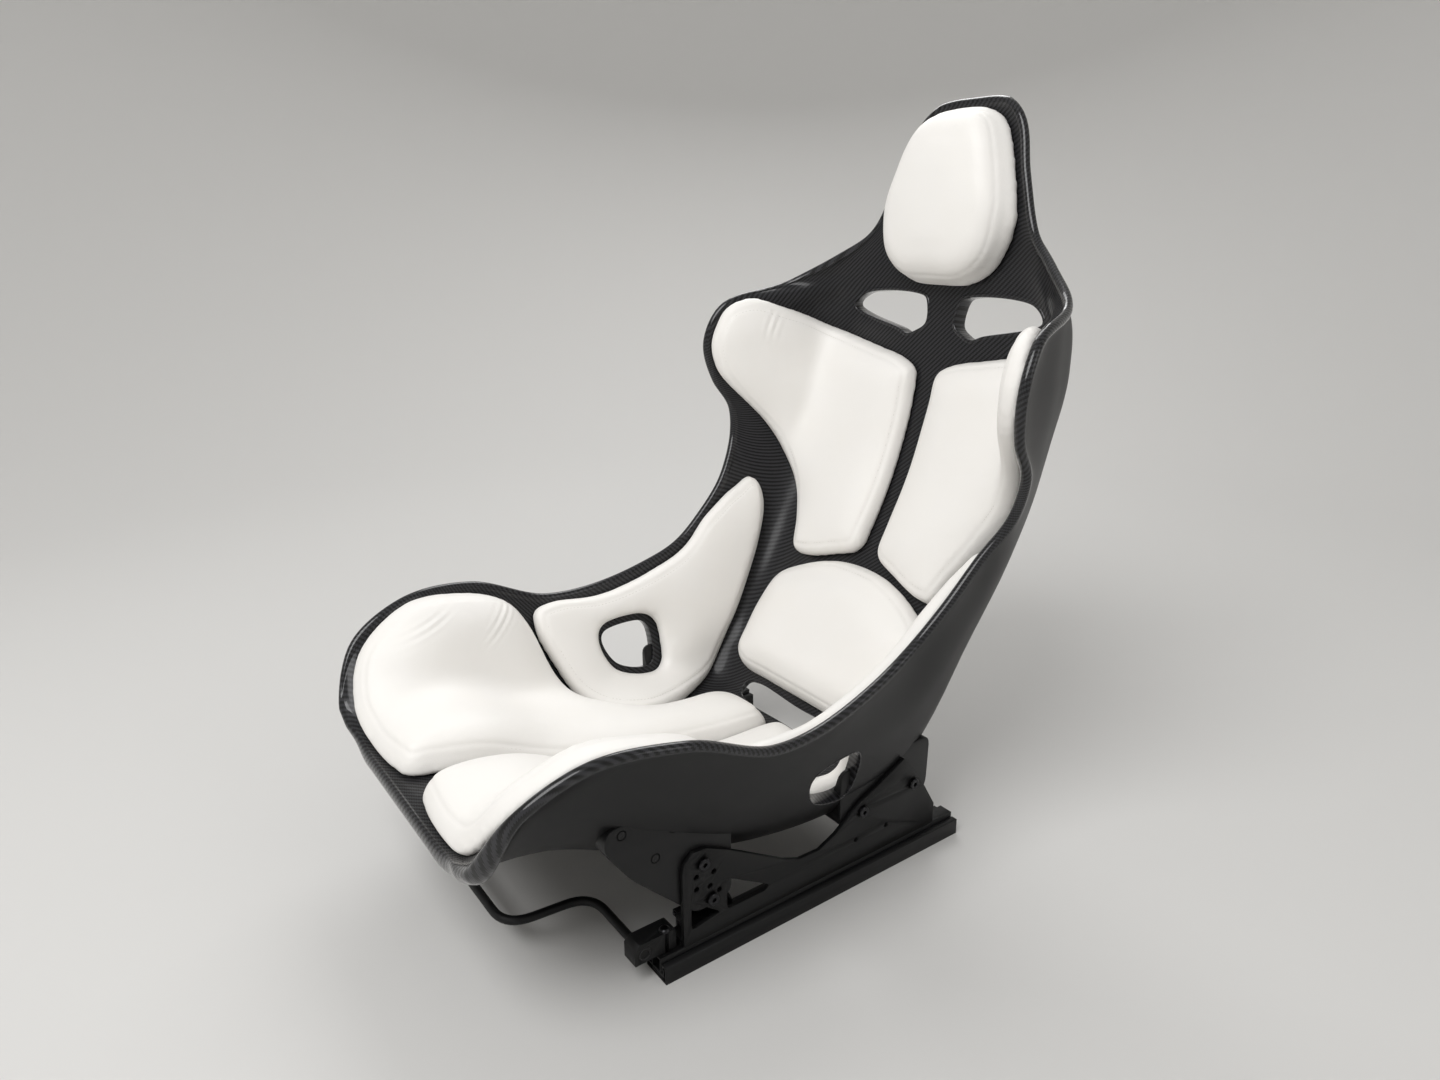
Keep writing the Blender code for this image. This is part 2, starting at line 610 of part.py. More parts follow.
def shell_grid():
    """Stations and parts of the girth at which the shell's faces meet."""
    parts = np.linspace(-1.0, 1.0, 2 * SHELL_HALF_COLUMNS + 1)
    stations, parts = np.meshgrid(shell_rows(), parts, indexing="ij")
    set_back = (1 - smooth_step(stations, 0.0, LIP_LENGTH)) * (1 - smooth_step(np.abs(parts), *LIP_BLEND))
    return stations + LIP_SETBACK * set_back, parts


def border(index):
    """Point numbers right round the edge of a grid."""
    return np.concatenate((index[0], index[1:, -1], index[-1, -2::-1], index[-2:0:-1, 0]))


def inner_triangles(index):
    """The grid's faces as triangles, split the same way on both sides of the seat."""
    a, b, c, d = index[:-1, :-1], index[:-1, 1:], index[1:, 1:], index[1:, :-1]
    left = (np.arange(a.shape[1]) >= SHELL_HALF_COLUMNS)[None, :, None]
    first = np.where(left, np.stack((a, b, c), axis=-1), np.stack((a, b, d), axis=-1))
    second = np.where(left, np.stack((a, c, d), axis=-1), np.stack((b, c, d), axis=-1))
    return np.vstack((first.reshape(-1, 3), second.reshape(-1, 3)))


def make_shell():
    """A lofted wall: inner and outer grids, joined by a rounded bead right round the rim."""
    stations, parts = shell_grid()
    girths = parts * edge_at(stations)
    wall = shell_wall(stations, np.abs(parts))
    inner = on_shell(stations, girths)
    outer = on_shell(stations, girths, -wall)
    rows, columns = parts.shape
    index = np.arange(rows * columns).reshape(rows, columns)
    edge = border(index)
    flat_inner, flat_outer = inner.reshape(-1, 3), outer.reshape(-1, 3)
    low, high = flat_inner[edge], flat_outer[edge]
    out = unit(np.cross(np.roll(low, -1, axis=0) - np.roll(low, 1, axis=0), low - high))
    beads = []
    for angle in RIM_BEAD_ANGLES:
        lean = (1 - math.cos(math.radians(angle))) / 2
        beads.append(low * (1 - lean) + high * lean + out * RIM_BEAD * math.sin(math.radians(angle)))
    points = np.vstack((flat_inner, flat_outer, *beads))
    base = rows * columns
    outside = np.stack((index[1:, :-1], index[1:, 1:], index[:-1, 1:], index[:-1, :-1]), axis=-1).reshape(-1, 4) + base
    rings = [2 * base + number * len(edge) + np.arange(len(edge)) for number in range(len(beads))]
    rings = [edge] + rings + [edge + base]
    strips = [np.stack((low, np.roll(low, -1), np.roll(high, -1), high), axis=-1)
              for low, high in zip(rings, rings[1:])]
    faces = inner_triangles(index).tolist() + np.vstack((outside, *strips)).reshape(-1, 4).tolist()
    return mesh_object("seat_shell", points, faces, CARBON)


def make_bed():
    """A cutter with the shell's own faces, a clearance above it, that the pads are cut to lie on."""
    stations, parts = shell_grid()
    girths = parts * edge_at(stations)
    layers = [on_shell(stations, girths, height).reshape(-1, 3) for height in (CLEARANCE, -BED_DEPTH)]
    rows, columns = parts.shape
    index = np.arange(rows * columns).reshape(rows, columns)
    top = inner_triangles(index)
    edge = border(index)
    faces = top.tolist() + (top[:, ::-1] + rows * columns).tolist() + ring_faces([edge, edge + rows * columns])
    return mesh_object("pad_bed", np.vstack(layers), faces, None, CUTTERS)


CURVE_STEPS = 801
HOLE_STEPS = 400
PLUG_POINTS = 28
CORE_GRID = (12, 25)        # rows and columns of a boss's core


def closed_curve(points, count):
    """A smooth closed outline through hand-placed points, with evenly spaced points."""
    points = np.array(points, float)
    ring = np.vstack((points[-3:], points, points[:4]))
    knots = np.concatenate(([0.0], np.cumsum(np.sqrt(np.linalg.norm(np.diff(ring, axis=0), axis=1)))))
    fine = hermite(knots, ring, np.linspace(knots[3], knots[len(points) + 3], CURVE_STEPS))
    along = lengths_along(fine)
    even = np.linspace(0.0, along[-1], count + 1)[:-1]
    return np.stack([np.interp(even, along, fine[:, axis]) for axis in range(2)], axis=1)


def inset(outline, distance):
    """Moves a closed outline inwards."""
    ahead = np.roll(outline, -1, axis=0) - np.roll(outline, 1, axis=0)
    side = unit(np.stack((-ahead[:, 1], ahead[:, 0]), axis=1))
    x, y = outline[:, 0], outline[:, 1]
    area = 0.5 * np.sum(x * np.roll(y, -1) - np.roll(x, -1) * y)
    return outline + side * distance * np.sign(area)


def ring_faces(rings):
    """Quads between rings of point numbers."""
    faces = []
    for low, high in zip(rings, rings[1:]):
        faces.append(np.stack((low, np.roll(low, -1), np.roll(high, -1), high), axis=-1))
    return np.vstack(faces).tolist()


def plug(name, outline, count=PLUG_POINTS):
    """A cutter through the shell's wall."""
    outline = closed_curve(outline, count)
    low, high = -PLUG_REACH, PLUG_REACH
    centre = outline.mean(axis=0)
    layers = [on_shell(outline[:, 0], outline[:, 1], height) for height in (low, high)]
    ends = [on_shell(centre[0], centre[1], height).reshape(1, 3) for height in (low, high)]
    points = np.vstack((*layers, *ends))
    ring = np.arange(count)
    faces = ring_faces([ring, ring + count])
    faces += [[int(i), int((i + 1) % count), 2 * count] for i in ring]
    faces += [[int(i) + count, int((i + 1) % count) + count, 2 * count + 1] for i in ring]
    return mesh_object(name, points, faces, None, CUTTERS)


def mirrored(outline):
    return [(station, -girth) for station, girth in outline]


def wall_core(name, low_station, high_station, height):
    """The room inside the shell between two stations, out to a height off its inner surface."""
    rows, columns = CORE_GRID
    stations, parts = np.meshgrid(np.linspace(low_station, high_station, rows), np.linspace(-1.0, 1.0, columns),
                                  indexing="ij")
    surface = on_shell(stations, parts * girth_at(stations), height)
    centre = surface.mean(axis=1)
    centre[:, 2] = surface[:, 0, 2]
    points = np.vstack((surface.reshape(-1, 3), centre))
    index = np.arange(rows * columns).reshape(rows, columns)
    hub = rows * columns + np.arange(rows)
    faces = np.stack((index[:-1, :-1], index[:-1, 1:], index[1:, 1:], index[1:, :-1]), axis=-1).reshape(-1, 4).tolist()
    for i in range(rows - 1):
        faces.append([int(index[i, 0]), int(index[i + 1, 0]), int(hub[i + 1]), int(hub[i])])
        faces.append([int(index[i, -1]), int(index[i + 1, -1]), int(hub[i + 1]), int(hub[i])])
    for i in (0, rows - 1):
        faces += [[int(index[i, j]), int(index[i, j + 1]), int(hub[i])] for j in range(columns - 1)]
    return mesh_object(name, points, faces, None, CUTTERS)


def make_bosses(shell):
    """Flat-faced blocks moulded on the lower wings, with bores for the mount bolts and inserts."""
    face = MOUNT_X - CLEARANCE
    for side, sign in SIDES:
        for place, outline, stations in BOSSES:
            boss = prism(f"{place}_boss_{side}", [rounded(outline, BOSS_CORNER)], sign * (face - BOSS_DEPTH),
                         sign * face, "X", None)
            cut(boss, wall_core(f"{place}_core_{side}", *stations, -PAN_WALL / 2))
            join(shell, as_mesh(boss))
        for number, (y, z) in enumerate(MOUNT_BOLTS):
            cut(shell, cylinder(f"bolt_bore_{number}_{side}", (sign * (face + BORE_SPARE), y, z), (-sign, 0, 0),
                                BOLT_HOLE_RADIUS, BOLT_LENGTH + 2 * BORE_SPARE, None, CUTTERS, BORE_SIDES))
        for number, (y, z) in enumerate(INSERT_PLACES):
            cut(shell, cylinder(f"insert_bore_{number}_{side}", (sign * (face + BOSS_DEPTH), y, z), (-sign, 0, 0),
                                INSERT_RADIUS + 2 * CLEARANCE, BOSS_DEPTH + INSERT_LENGTH + CLEARANCE, None, CUTTERS,
                                BORE_SIDES))


def make_seat_shell():
    shell = make_shell()
    make_bosses(shell)
    cut(shell, plug("strap_slot_cutter", STRAP_SLOT))
    for side, sign in SIDES:
        for name, outline in (("harness", HARNESS_OPENING), ("lap", LAP_OPENING)):
            shape = outline if sign > 0 else mirrored(outline)
            cut(shell, plug(f"{name}_cutter_{side}", shape))
    shell.data.shade_smooth()
    return shell


# ---------------------------------------------------------------- pads
def crown(distance, height):
    """Height of a pad at a distance in from its seam: a rounded shoulder, then a low dome."""
    part = np.clip(distance / CROWN_REACH, 0.0, 1.0)
    return PAD_SEAM + (height - PAD_SEAM) * np.sqrt(1 - (1 - part) ** 2)


def distance_to(points, outline):
    """Shortest distance from each point to a closed outline."""
    start, end = outline, np.roll(outline, -1, axis=0)
    ahead = end - start
    part = np.einsum("pij,ij->pi", points[:, None] - start[None], ahead) / np.sum(ahead ** 2, axis=1)
    nearest = start[None] + np.clip(part, 0.0, 1.0)[..., None] * ahead[None]
    return np.linalg.norm(points[:, None] - nearest, axis=2).min(axis=1)


def hole_ring(hole, outline):
    """The hole's points in the directions of the outline's points, seen from the hole's middle."""
    fine = closed_curve(hole, HOLE_STEPS)
    centre = fine.mean(axis=0)
    angle = np.arctan2(*(fine - centre).T[::-1])
    order = np.argsort(angle)
    radius = np.linalg.norm(fine - centre, axis=1)[order]
    wanted = np.arctan2(*(outline - centre).T[::-1])
    reach = np.interp(wanted, angle[order], radius, period=2 * math.pi)
    return centre + np.stack((np.cos(wanted), np.sin(wanted)), axis=1) * reach[:, None]


def make_pad(name, drawn, height, centre=None, hole=None, sign=1):
    """A crowned cushion: foot, drawn-in side, seam, then rings up to the dome; girths are mirrored by sign."""
    count = PAD_POINTS
    edge = inset(closed_curve(drawn, count), PAD_GAP)
    seam = inset(edge, PAD_DRAW)
    if hole is None:
        middle = np.array(centre if centre is not None else edge.mean(axis=0))
        inner = np.repeat(middle[None], count, axis=0)
        shares = PAD_RINGS
    else:
        inner = hole_ring(hole, edge)
        shares = HOLED_RINGS
    foot = inset(edge, 2 * PAD_DRAW)
    layers = [(foot, PAD_FOOT), (edge, PAD_EDGE), (seam, PAD_SEAM)]
    for share in shares:
        ring = inner + (seam - inner) * share
        gap = distance_to(ring, seam)
        if hole is not None:
            gap = np.minimum(gap, distance_to(ring, inner))
        layers.append((ring, crown(gap, height)))
    if hole is not None:
        layers += [(inset(inner, -PAD_DRAW), PAD_SEAM), (inner, PAD_EDGE), (inset(inner, -2 * PAD_DRAW), PAD_FOOT)]
    under = [foot + (inner - foot) * share for share in UNDER_RINGS]
    points = [on_shell(ring[:, 0], ring[:, 1], np.broadcast_to(heights, count)) for ring, heights in layers]
    points += [on_shell(ring[:, 0], ring[:, 1], PAD_FOOT) for ring in under[::-1]]
    rings = [np.arange(count) + number * count for number in range(len(points))]
    if hole is None:
        tops, lowers = rings[:len(layers)], rings[len(layers):]
        dome = distance_to(middle[None], seam)
        points.append(on_shell(middle[0], middle[1], crown(dome, height)).reshape(1, 3))
        points.append(on_shell(middle[0], middle[1], PAD_FOOT).reshape(1, 3))
        top_hub, low_hub = len(rings) * count, len(rings) * count + 1
        faces = ring_faces(lowers + tops)
        faces += [[int(i), int(j), top_hub] for i, j in zip(tops[-1], np.roll(tops[-1], -1))]
        faces += [[int(i), int(j), low_hub] for i, j in zip(lowers[0], np.roll(lowers[0], -1))]
    else:
        faces = ring_faces(rings + rings[:1])
    points = np.vstack(points)
    points[:, 0] *= sign
    return mesh_object(name, points, faces, LEATHER)


def whole(half):
    """A middle pad's outline from its left half."""
    left = [point for point in half if point[1] > 0]
    return [half[0]] + left + [half[-1]] + mirrored(left)[::-1]


def make_pads():
    pads = [make_pad("head_pad", whole(HEAD_PAD), HEAD_PAD_HEIGHT, HEAD_CENTRE),
            make_pad("lumbar_pad", whole(LUMBAR_PAD), LUMBAR_PAD_HEIGHT, LUMBAR_CENTRE)]
    for side, sign in SIDES:
        pads += [make_pad(f"shoulder_pad_{side}", SHOULDER_PAD, SHOULDER_PAD_HEIGHT, SHOULDER_CENTRE, sign=sign),
                 make_pad(f"hip_pad_{side}", HIP_PAD, HIP_PAD_HEIGHT, hole=HIP_PAD_HOLE, sign=sign),
                 make_pad(f"thigh_pad_{side}", THIGH_PAD, THIGH_PAD_HEIGHT, THIGH_CENTRE, sign=sign)]
    bed = make_bed()
    for pad in pads:
        cut(pad, bed)
        pad.data.shade_smooth()


# ---------------------------------------------------------------- side mounts and bolts
FOOT_BOTTOM = UPPER_TOP + CLEARANCE
FOOT_TOP = FOOT_BOTTOM + MOUNT_FOOT
BRACKET_BASE = FOOT_TOP + CLEARANCE
BRACKET_TOP = BRACKET_BASE + SHEET
FOOT_BOLT_X = MOUNT_X - BOLT_HEAD_RADIUS - CLEARANCE


def span(low, high, sign):
    """Two distances from the seat's middle as a low and a high x on one side."""
    return min(sign * low, sign * high), max(sign * low, sign * high)


def side_box(name, across, along, up, sign, material=None):
    """A box on one side of the seat, from its (near, far) sizes across, along and up."""
    low_x, high_x = span(*across, sign)
    return box(name, (low_x, along[0], up[0]), (high_x, along[1], up[1]), material)


def make_side_mount(side, sign):
    """Cut-out plate with a foot along the slider."""
    outline = [(MOUNT_REAR, FOOT_BOTTOM), (MOUNT_REAR, MOUNT_REAR_CORNER), *MOUNT_TOP,
               (MOUNT_FRONT, MOUNT_FRONT_CORNER), (MOUNT_FRONT, FOOT_BOTTOM)]
    holes = [rounded(window, WINDOW_CORNER) for window in MOUNT_WINDOWS]
    holes += [circle(place, ADJUST_HOLE_RADIUS, SMALL_SIDES) for place in MOUNT_ADJUST_HOLES]
    holes += [circle(place, BOLT_HOLE_RADIUS, BORE_SIDES) for place in MOUNT_BOLTS]
    plate = prism(f"side_mount_{side}", [outline] + holes, sign * MOUNT_X, sign * (MOUNT_X + MOUNT_PLATE), "X", STEEL)
    inner = MOUNT_X - MOUNT_FOOT_WIDTH
    join(plate, side_box(f"mount_foot_{side}", (inner, MOUNT_X + MOUNT_PLATE / 2),
                         (MOUNT_FRONT + STOP_INSET, MOUNT_REAR - STOP_INSET), (FOOT_BOTTOM, FOOT_TOP), sign))


def bolt_profile(length, head_radius=BOLT_HEAD_RADIUS, head=BOLT_HEAD):
    """Button-head bolt: down from the top of the head to the tip of the shank."""
    return ((0.0, head), (BOLT_CROWN * head_radius, head), (head_radius, head / 2), (head_radius, 0.0),
            (BOLT_RADIUS, 0.0), (BOLT_RADIUS, -length), (0.0, -length))


def make_mount_bolts(side, sign):
    seat = MOUNT_X + MOUNT_PLATE + CLEARANCE
    for number, (y, z) in enumerate(MOUNT_BOLTS):
        turned(f"mount_bolt_{number + 1}_{side}", bolt_profile(BOLT_LENGTH + MOUNT_PLATE), (sign * seat, y, z),
               (sign, 0, 0), ZINC, sides=BOLT_SIDES)
    for number, (y, z) in enumerate(INSERT_PLACES):
        profile = ((INSERT_BORE, 0.0), (INSERT_RADIUS, 0.0), (INSERT_RADIUS, -INSERT_LENGTH),
                   (INSERT_BORE, -INSERT_LENGTH))
        turned(f"thread_insert_{number + 1}_{side}", profile, (sign * (MOUNT_X - CLEARANCE), y, z), (sign, 0, 0), ZINC,
               sides=BORE_SIDES, closed=True)


# ---------------------------------------------------------------- rails
RAIL_FRONT = MOUNT_FRONT - RAIL_LEAD
RAIL_REAR = RAIL_FRONT + RAIL_LENGTH
RAIL_Y = (RAIL_FRONT + RAIL_REAR) / 2
ROLLER_AXIS = (SHEET + UPPER_FOOT) / 2
ROLLER_RADIUS = (UPPER_FOOT - SHEET) / 2 - CLEARANCE
CAGE_LENGTH = RAIL_LENGTH - 2 * (STOP_INSET + STOP_LENGTH) - SEAT_TRAVEL - 2 * CLEARANCE
ROLLER_SPREAD = CAGE_LENGTH / 2 - 4 * ROLLER_RADIUS
STOP_STARTS = (("front", RAIL_FRONT + STOP_INSET), ("rear", RAIL_REAR - STOP_INSET - STOP_LENGTH))


def make_lower_rail(side, sign):
    """Channel with lips that turn in and down, fixed to the floor."""
    wide, mouth, lip_end = LOWER_HALF_WIDTH, LOWER_MOUTH, LOWER_HEIGHT - LOWER_LIP_DROP
    half = [(wide, 0.0), (wide, LOWER_HEIGHT), (mouth, LOWER_HEIGHT), (mouth, lip_end), (mouth + LOWER_LIP, lip_end),
            (mouth + LOWER_LIP, LOWER_HEIGHT - SHEET), (wide - SHEET, LOWER_HEIGHT - SHEET), (wide - SHEET, SHEET)]
    middle = sign * RAIL_X
    outline = [(middle + x, z) for x, z in half] + [(middle - x, z) for x, z in half[::-1]]
    rail = prism(f"lower_rail_{side}", [outline], RAIL_FRONT, RAIL_REAR, "Y", STEEL)
    for place, start in STOP_STARTS:
        join(rail, box(f"lower_stop_{place}_{side}", (middle - STOP_WIDTH / 2, start, SHEET / 2),
                       (middle + STOP_WIDTH / 2, start + STOP_LENGTH, ROLLER_AXIS - STOP_GAP / 2), None))
    for number, y in enumerate((RAIL_FRONT + FLOOR_HOLE_INSET, RAIL_REAR - FLOOR_HOLE_INSET)):
        cut(rail, cylinder(f"floor_hole_{number}_{side}", (middle, y, -SHEET), (0, 0, 1), FLOOR_HOLE_RADIUS, 3 * SHEET,
                           None, CUTTERS, BORE_SIDES))


def make_upper_rail(side, sign):
    """Slider: an upturned channel with out-turned feet and upturned edges."""
    wide, reach = UPPER_HALF_WIDTH, UPPER_FOOT_REACH
    outer = [(reach, UPPER_FOOT), (reach, UPPER_LIP), (reach - SHEET, UPPER_LIP), (reach - SHEET, UPPER_FOOT + SHEET),
             (wide, UPPER_FOOT + SHEET), (wide, UPPER_TOP)]
    inner = [(wide - SHEET, UPPER_FOOT), (wide - SHEET, UPPER_TOP - SHEET)]
    middle = sign * RAIL_X
    outline = [(middle + x, z) for x, z in outer] + [(middle - x, z) for x, z in outer[::-1]]
    outline += [(middle - x, z) for x, z in inner] + [(middle + x, z) for x, z in inner[::-1]]
    rail = prism(f"upper_rail_{side}", [outline], RAIL_FRONT, RAIL_REAR, "Y", STEEL)
    for place, start in STOP_STARTS:
        join(rail, box(f"upper_stop_{place}_{side}", (middle - reach + STOP_INSET, start, ROLLER_AXIS + STOP_GAP / 2),
                       (middle + reach - STOP_INSET, start + STOP_LENGTH, UPPER_FOOT + SHEET / 2), None))


def make_roller_cage(side, sign):
    """Flat cage with rollers fixed in it, between the lower rail's base and the upper rail's feet."""
    middle = sign * RAIL_X
    cage = box(f"roller_cage_{side}",
               (middle - CAGE_WIDTH / 2, RAIL_Y - CAGE_LENGTH / 2, ROLLER_AXIS - CAGE_THICKNESS / 2),
               (middle + CAGE_WIDTH / 2, RAIL_Y + CAGE_LENGTH / 2, ROLLER_AXIS + CAGE_THICKNESS / 2), ZINC)
    for number, y in enumerate(np.linspace(RAIL_Y - ROLLER_SPREAD, RAIL_Y + ROLLER_SPREAD, ROLLER_COUNT)):
        join(cage, cylinder(f"roller_{number}_{side}", (middle - ROLLER_LENGTH / 2, y, ROLLER_AXIS), (1, 0, 0),
                            ROLLER_RADIUS, ROLLER_LENGTH, None, CUTTERS, BORE_SIDES))


# ---------------------------------------------------------------- release handle
PIVOT_Y = RAIL_FRONT - PIVOT_OVERHANG
PIVOT_Z = FOOT_BOTTOM + PIVOT_RISE
BLOCK_TOP = FOOT_BOTTOM + BLOCK_HEIGHT
BLOCK_SCREW_Y = RAIL_FRONT + BLOCK_SCREW_INSET
BUSH_INNER = HANDLE_RADIUS + RUNNING_GAP
BUSH_OUTER = BUSH_INNER + BUSH_WALL


def make_block(side, sign):
    """Bearing block on the front of the upper rail, with the handle's bush."""
    front, rear = RAIL_FRONT - BLOCK_OVERHANG, RAIL_FRONT + BLOCK_SEAT
    outline = [(rear, FOOT_BOTTOM), (rear, BLOCK_TOP - SHEET), (rear - SHEET, BLOCK_TOP),
               (front + BLOCK_CORNER, BLOCK_TOP), (front, BLOCK_TOP - BLOCK_CORNER), (front, FOOT_BOTTOM)]
    bore = circle((PIVOT_Y, PIVOT_Z), BUSH_OUTER + CLEARANCE)
    start = sign * BLOCK_INNER_X
    block = prism(f"pivot_block_{side}", [outline, bore], start, start + sign * BLOCK_DEPTH, "X", STEEL)
    flange = BUSH_OUTER + BUSH_FLANGE
    profile = ((BUSH_INNER, BLOCK_DEPTH), (BUSH_OUTER, BLOCK_DEPTH), (BUSH_OUTER, -CLEARANCE), (flange, -CLEARANCE),
               (flange, -CLEARANCE - BUSH_FLANGE), (BUSH_INNER, -CLEARANCE - BUSH_FLANGE))
    turned(f"handle_bush_{side}", profile, (start, PIVOT_Y, PIVOT_Z), (sign, 0, 0), NYLON, closed=True)
    screw_x = sign * RAIL_X
    length = BLOCK_HEIGHT + CLEARANCE + SHEET + FOOT_BOLT_REACH
    turned(f"block_screw_{side}", bolt_profile(length, SMALL_HEAD_RADIUS, SMALL_HEAD),
           (screw_x, BLOCK_SCREW_Y, BLOCK_TOP + CLEARANCE), (0, 0, 1), ZINC, sides=BOLT_SIDES)
    for piece in (block, bpy.data.objects[f"upper_rail_{side}"]):
        cut(piece, cylinder(f"{piece.name}_screw_hole", (screw_x, BLOCK_SCREW_Y, UPPER_TOP - 2 * SHEET), (0, 0, 1),
                            BOLT_HOLE_RADIUS, BLOCK_HEIGHT + 4 * SHEET, None, CUTTERS, BORE_SIDES))


def make_handle():
    """One bent tube: a stub in each block, in and forward, then across as the grip."""
    bar_y, bar_z = PIVOT_Y - HANDLE_FORWARD, PIVOT_Z + HANDLE_RISE
    stub = BLOCK_INNER_X + BLOCK_DEPTH - STOP_INSET
    half = [(stub, PIVOT_Y, PIVOT_Z), (HANDLE_ARM_X, PIVOT_Y, PIVOT_Z), (HANDLE_ARM_X, bar_y, bar_z)]
    route = half + [(-x, y, z) for x, y, z in half[::-1]]
    return tube("release_handle", bent_path(route, HANDLE_BEND), HANDLE_RADIUS, STEEL)


# ---------------------------------------------------------------- latches
LATCH_X = RAIL_X - LOWER_HALF_WIDTH - LATCH_OFFSET
LATCH_START = MOUNT_FRONT + LATCH_INSET
LATCH_END = LATCH_START + LATCH_LENGTH
FOOT_BOLTS = ((LATCH_START + LATCH_END) / 2, MOUNT_REAR - REAR_BOLT_INSET)
LATCH_HOLE = LATCH_PIN_RADIUS + RUNNING_GAP


def make_latch_bracket(side, sign):
    """Base bolted on the mount's foot, with two ears that carry the latch's pin."""
    ear_starts = (LATCH_START - EAR - CLEARANCE, LATCH_END + CLEARANCE)
    inner = MOUNT_X - STOP_INSET - BRACKET_WIDTH
    bracket = side_box(f"latch_bracket_{side}", (inner, inner + BRACKET_WIDTH), (ear_starts[0], ear_starts[1] + EAR),
                       (BRACKET_BASE, BRACKET_TOP), sign, STEEL)
    root = inner + 2 * EAR_ARM
    arm = [(sign * (LATCH_X - SHEET / 2), LATCH_HEIGHT - LATCH_BARREL_RADIUS + SHEET / 2),
           (sign * root, BRACKET_BASE + CLEARANCE), (sign * root, BRACKET_TOP + EAR_ARM),
           (sign * (LATCH_X + SHEET), LATCH_HEIGHT + LATCH_BARREL_RADIUS - SHEET / 2)]
    for number, start in enumerate(ear_starts):
        ear = prism(f"ear_{number}_{side}", [circle((sign * LATCH_X, LATCH_HEIGHT), LATCH_BARREL_RADIUS, BOLT_SIDES)],
                    start, start + EAR, "Y", None)
        join(ear, prism(f"ear_arm_{number}_{side}", [arm], start + CLEARANCE, start + EAR - CLEARANCE, "Y", None))
        cut(ear, cylinder(f"ear_hole_{number}_{side}", (sign * LATCH_X, start - EAR, LATCH_HEIGHT), (0, 1, 0),
                          LATCH_HOLE, 3 * EAR, None, CUTTERS, BORE_SIDES))
        join(bracket, as_mesh(ear))
    pin_start = ear_starts[0] - LATCH_PIN_SPARE
    cylinder(f"latch_pin_{side}", (sign * LATCH_X, pin_start, LATCH_HEIGHT), (0, 1, 0), LATCH_PIN_RADIUS,
             ear_starts[1] + EAR + LATCH_PIN_SPARE - pin_start, ZINC, sides=BORE_SIDES)


def make_latch_plate(side, sign):
    """Barrel on the pin, with a web that hangs beside the lower rail and teeth that point at it."""
    place = (sign * LATCH_X, LATCH_HEIGHT)
    barrel = [circle(place, LATCH_BARREL_RADIUS, BOLT_SIDES), circle(place, LATCH_HOLE, BORE_SIDES)]
    plate = prism(f"latch_plate_{side}", barrel, LATCH_START, LATCH_END, "Y", ZINC)
    web = LATCH_X - LATCH_BARREL_RADIUS
    join(plate, side_box(f"latch_web_{side}", (web - STOP_INSET, web - STOP_INSET + LATCH_WEB),
                         (LATCH_START + STOP_INSET, LATCH_END - STOP_INSET), (LATCH_BOTTOM, LATCH_HEIGHT), sign))
    tip = RAIL_X - LOWER_HALF_WIDTH - LATCH_TOOTH_GAP
    middle = (LATCH_START + LATCH_END) / 2
    for number in range(LATCH_TEETH):
        y = middle + (number - (LATCH_TEETH - 1) / 2) * LATCH_TOOTH_PITCH
        low = LATCH_BOTTOM + STOP_INSET / 2
        join(plate, side_box(f"latch_tooth_{number}_{side}", (web, tip), (y - LATCH_TOOTH / 2, y + LATCH_TOOTH / 2),
                             (low, low + LATCH_TOOTH_HEIGHT), sign))
    return plate


def make_foot_bolts(side, sign):
    """Bolts through the mount's foot into the slider; the front one also holds the latch bracket."""
    x = sign * FOOT_BOLT_X
    for number, y in enumerate(FOOT_BOLTS):
        on_bracket = LATCH_START < y < LATCH_END
        seat = (BRACKET_TOP if on_bracket else FOOT_TOP) + CLEARANCE
        length = seat - UPPER_TOP + SHEET + FOOT_BOLT_REACH
        turned(f"foot_bolt_{number + 1}_{side}", bolt_profile(length, SMALL_HEAD_RADIUS, SMALL_HEAD), (x, y, seat),
               (0, 0, 1), ZINC, sides=BOLT_SIDES)
        for piece in ("side_mount", "upper_rail", "latch_bracket")[:3 if on_bracket else 2]:
            hole = cylinder(f"{piece}_{side}_hole_{number}", (x, y, UPPER_TOP - 2 * SHEET), (0, 0, 1),
                            BOLT_HOLE_RADIUS, seat - UPPER_TOP + 4 * SHEET, None, CUTTERS, BORE_SIDES)
            cut(bpy.data.objects[f"{piece}_{side}"], hole)


def main():
    make_seat_shell()
    make_pads()
    for side, sign in SIDES:
        make_side_mount(side, sign)
        make_mount_bolts(side, sign)
        make_lower_rail(side, sign)
        make_upper_rail(side, sign)
        make_roller_cage(side, sign)
        carry(f"cage_slide_{side}", (sign * RAIL_X, RAIL_Y, ROLLER_AXIS), [bpy.data.objects[f"roller_cage_{side}"]])
        make_block(side, sign)
        make_latch_bracket(side, sign)
        carry(f"latch_turn_{side}", (sign * LATCH_X, LATCH_START, LATCH_HEIGHT), [make_latch_plate(side, sign)])
        make_foot_bolts(side, sign)
    carry("handle_lift", (0.0, PIVOT_Y, PIVOT_Z), [make_handle()])
    on_floor = [item for item in SEAT.objects if item.name.startswith("lower_rail")]
    riding = [item for item in SEAT.objects if item.type != "EMPTY" and item.parent is None and item not in on_floor]
    carry("seat_slide", (0.0, RAIL_Y, UPPER_FOOT), riding)


main()
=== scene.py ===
"""Looks of a laminated bucket racing seat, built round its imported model.

Metres, +Z up.  The seat faces -Y, +X is the sitter's left, and the floor is z = 0.
A point of the shell is given by two lengths: the station, measured along the middle of the
seat from the front lip to the top of the head, and the girth, measured from the middle of
the seat sideways across the floor and up the wing.
"""

import json
import math
from functools import partial

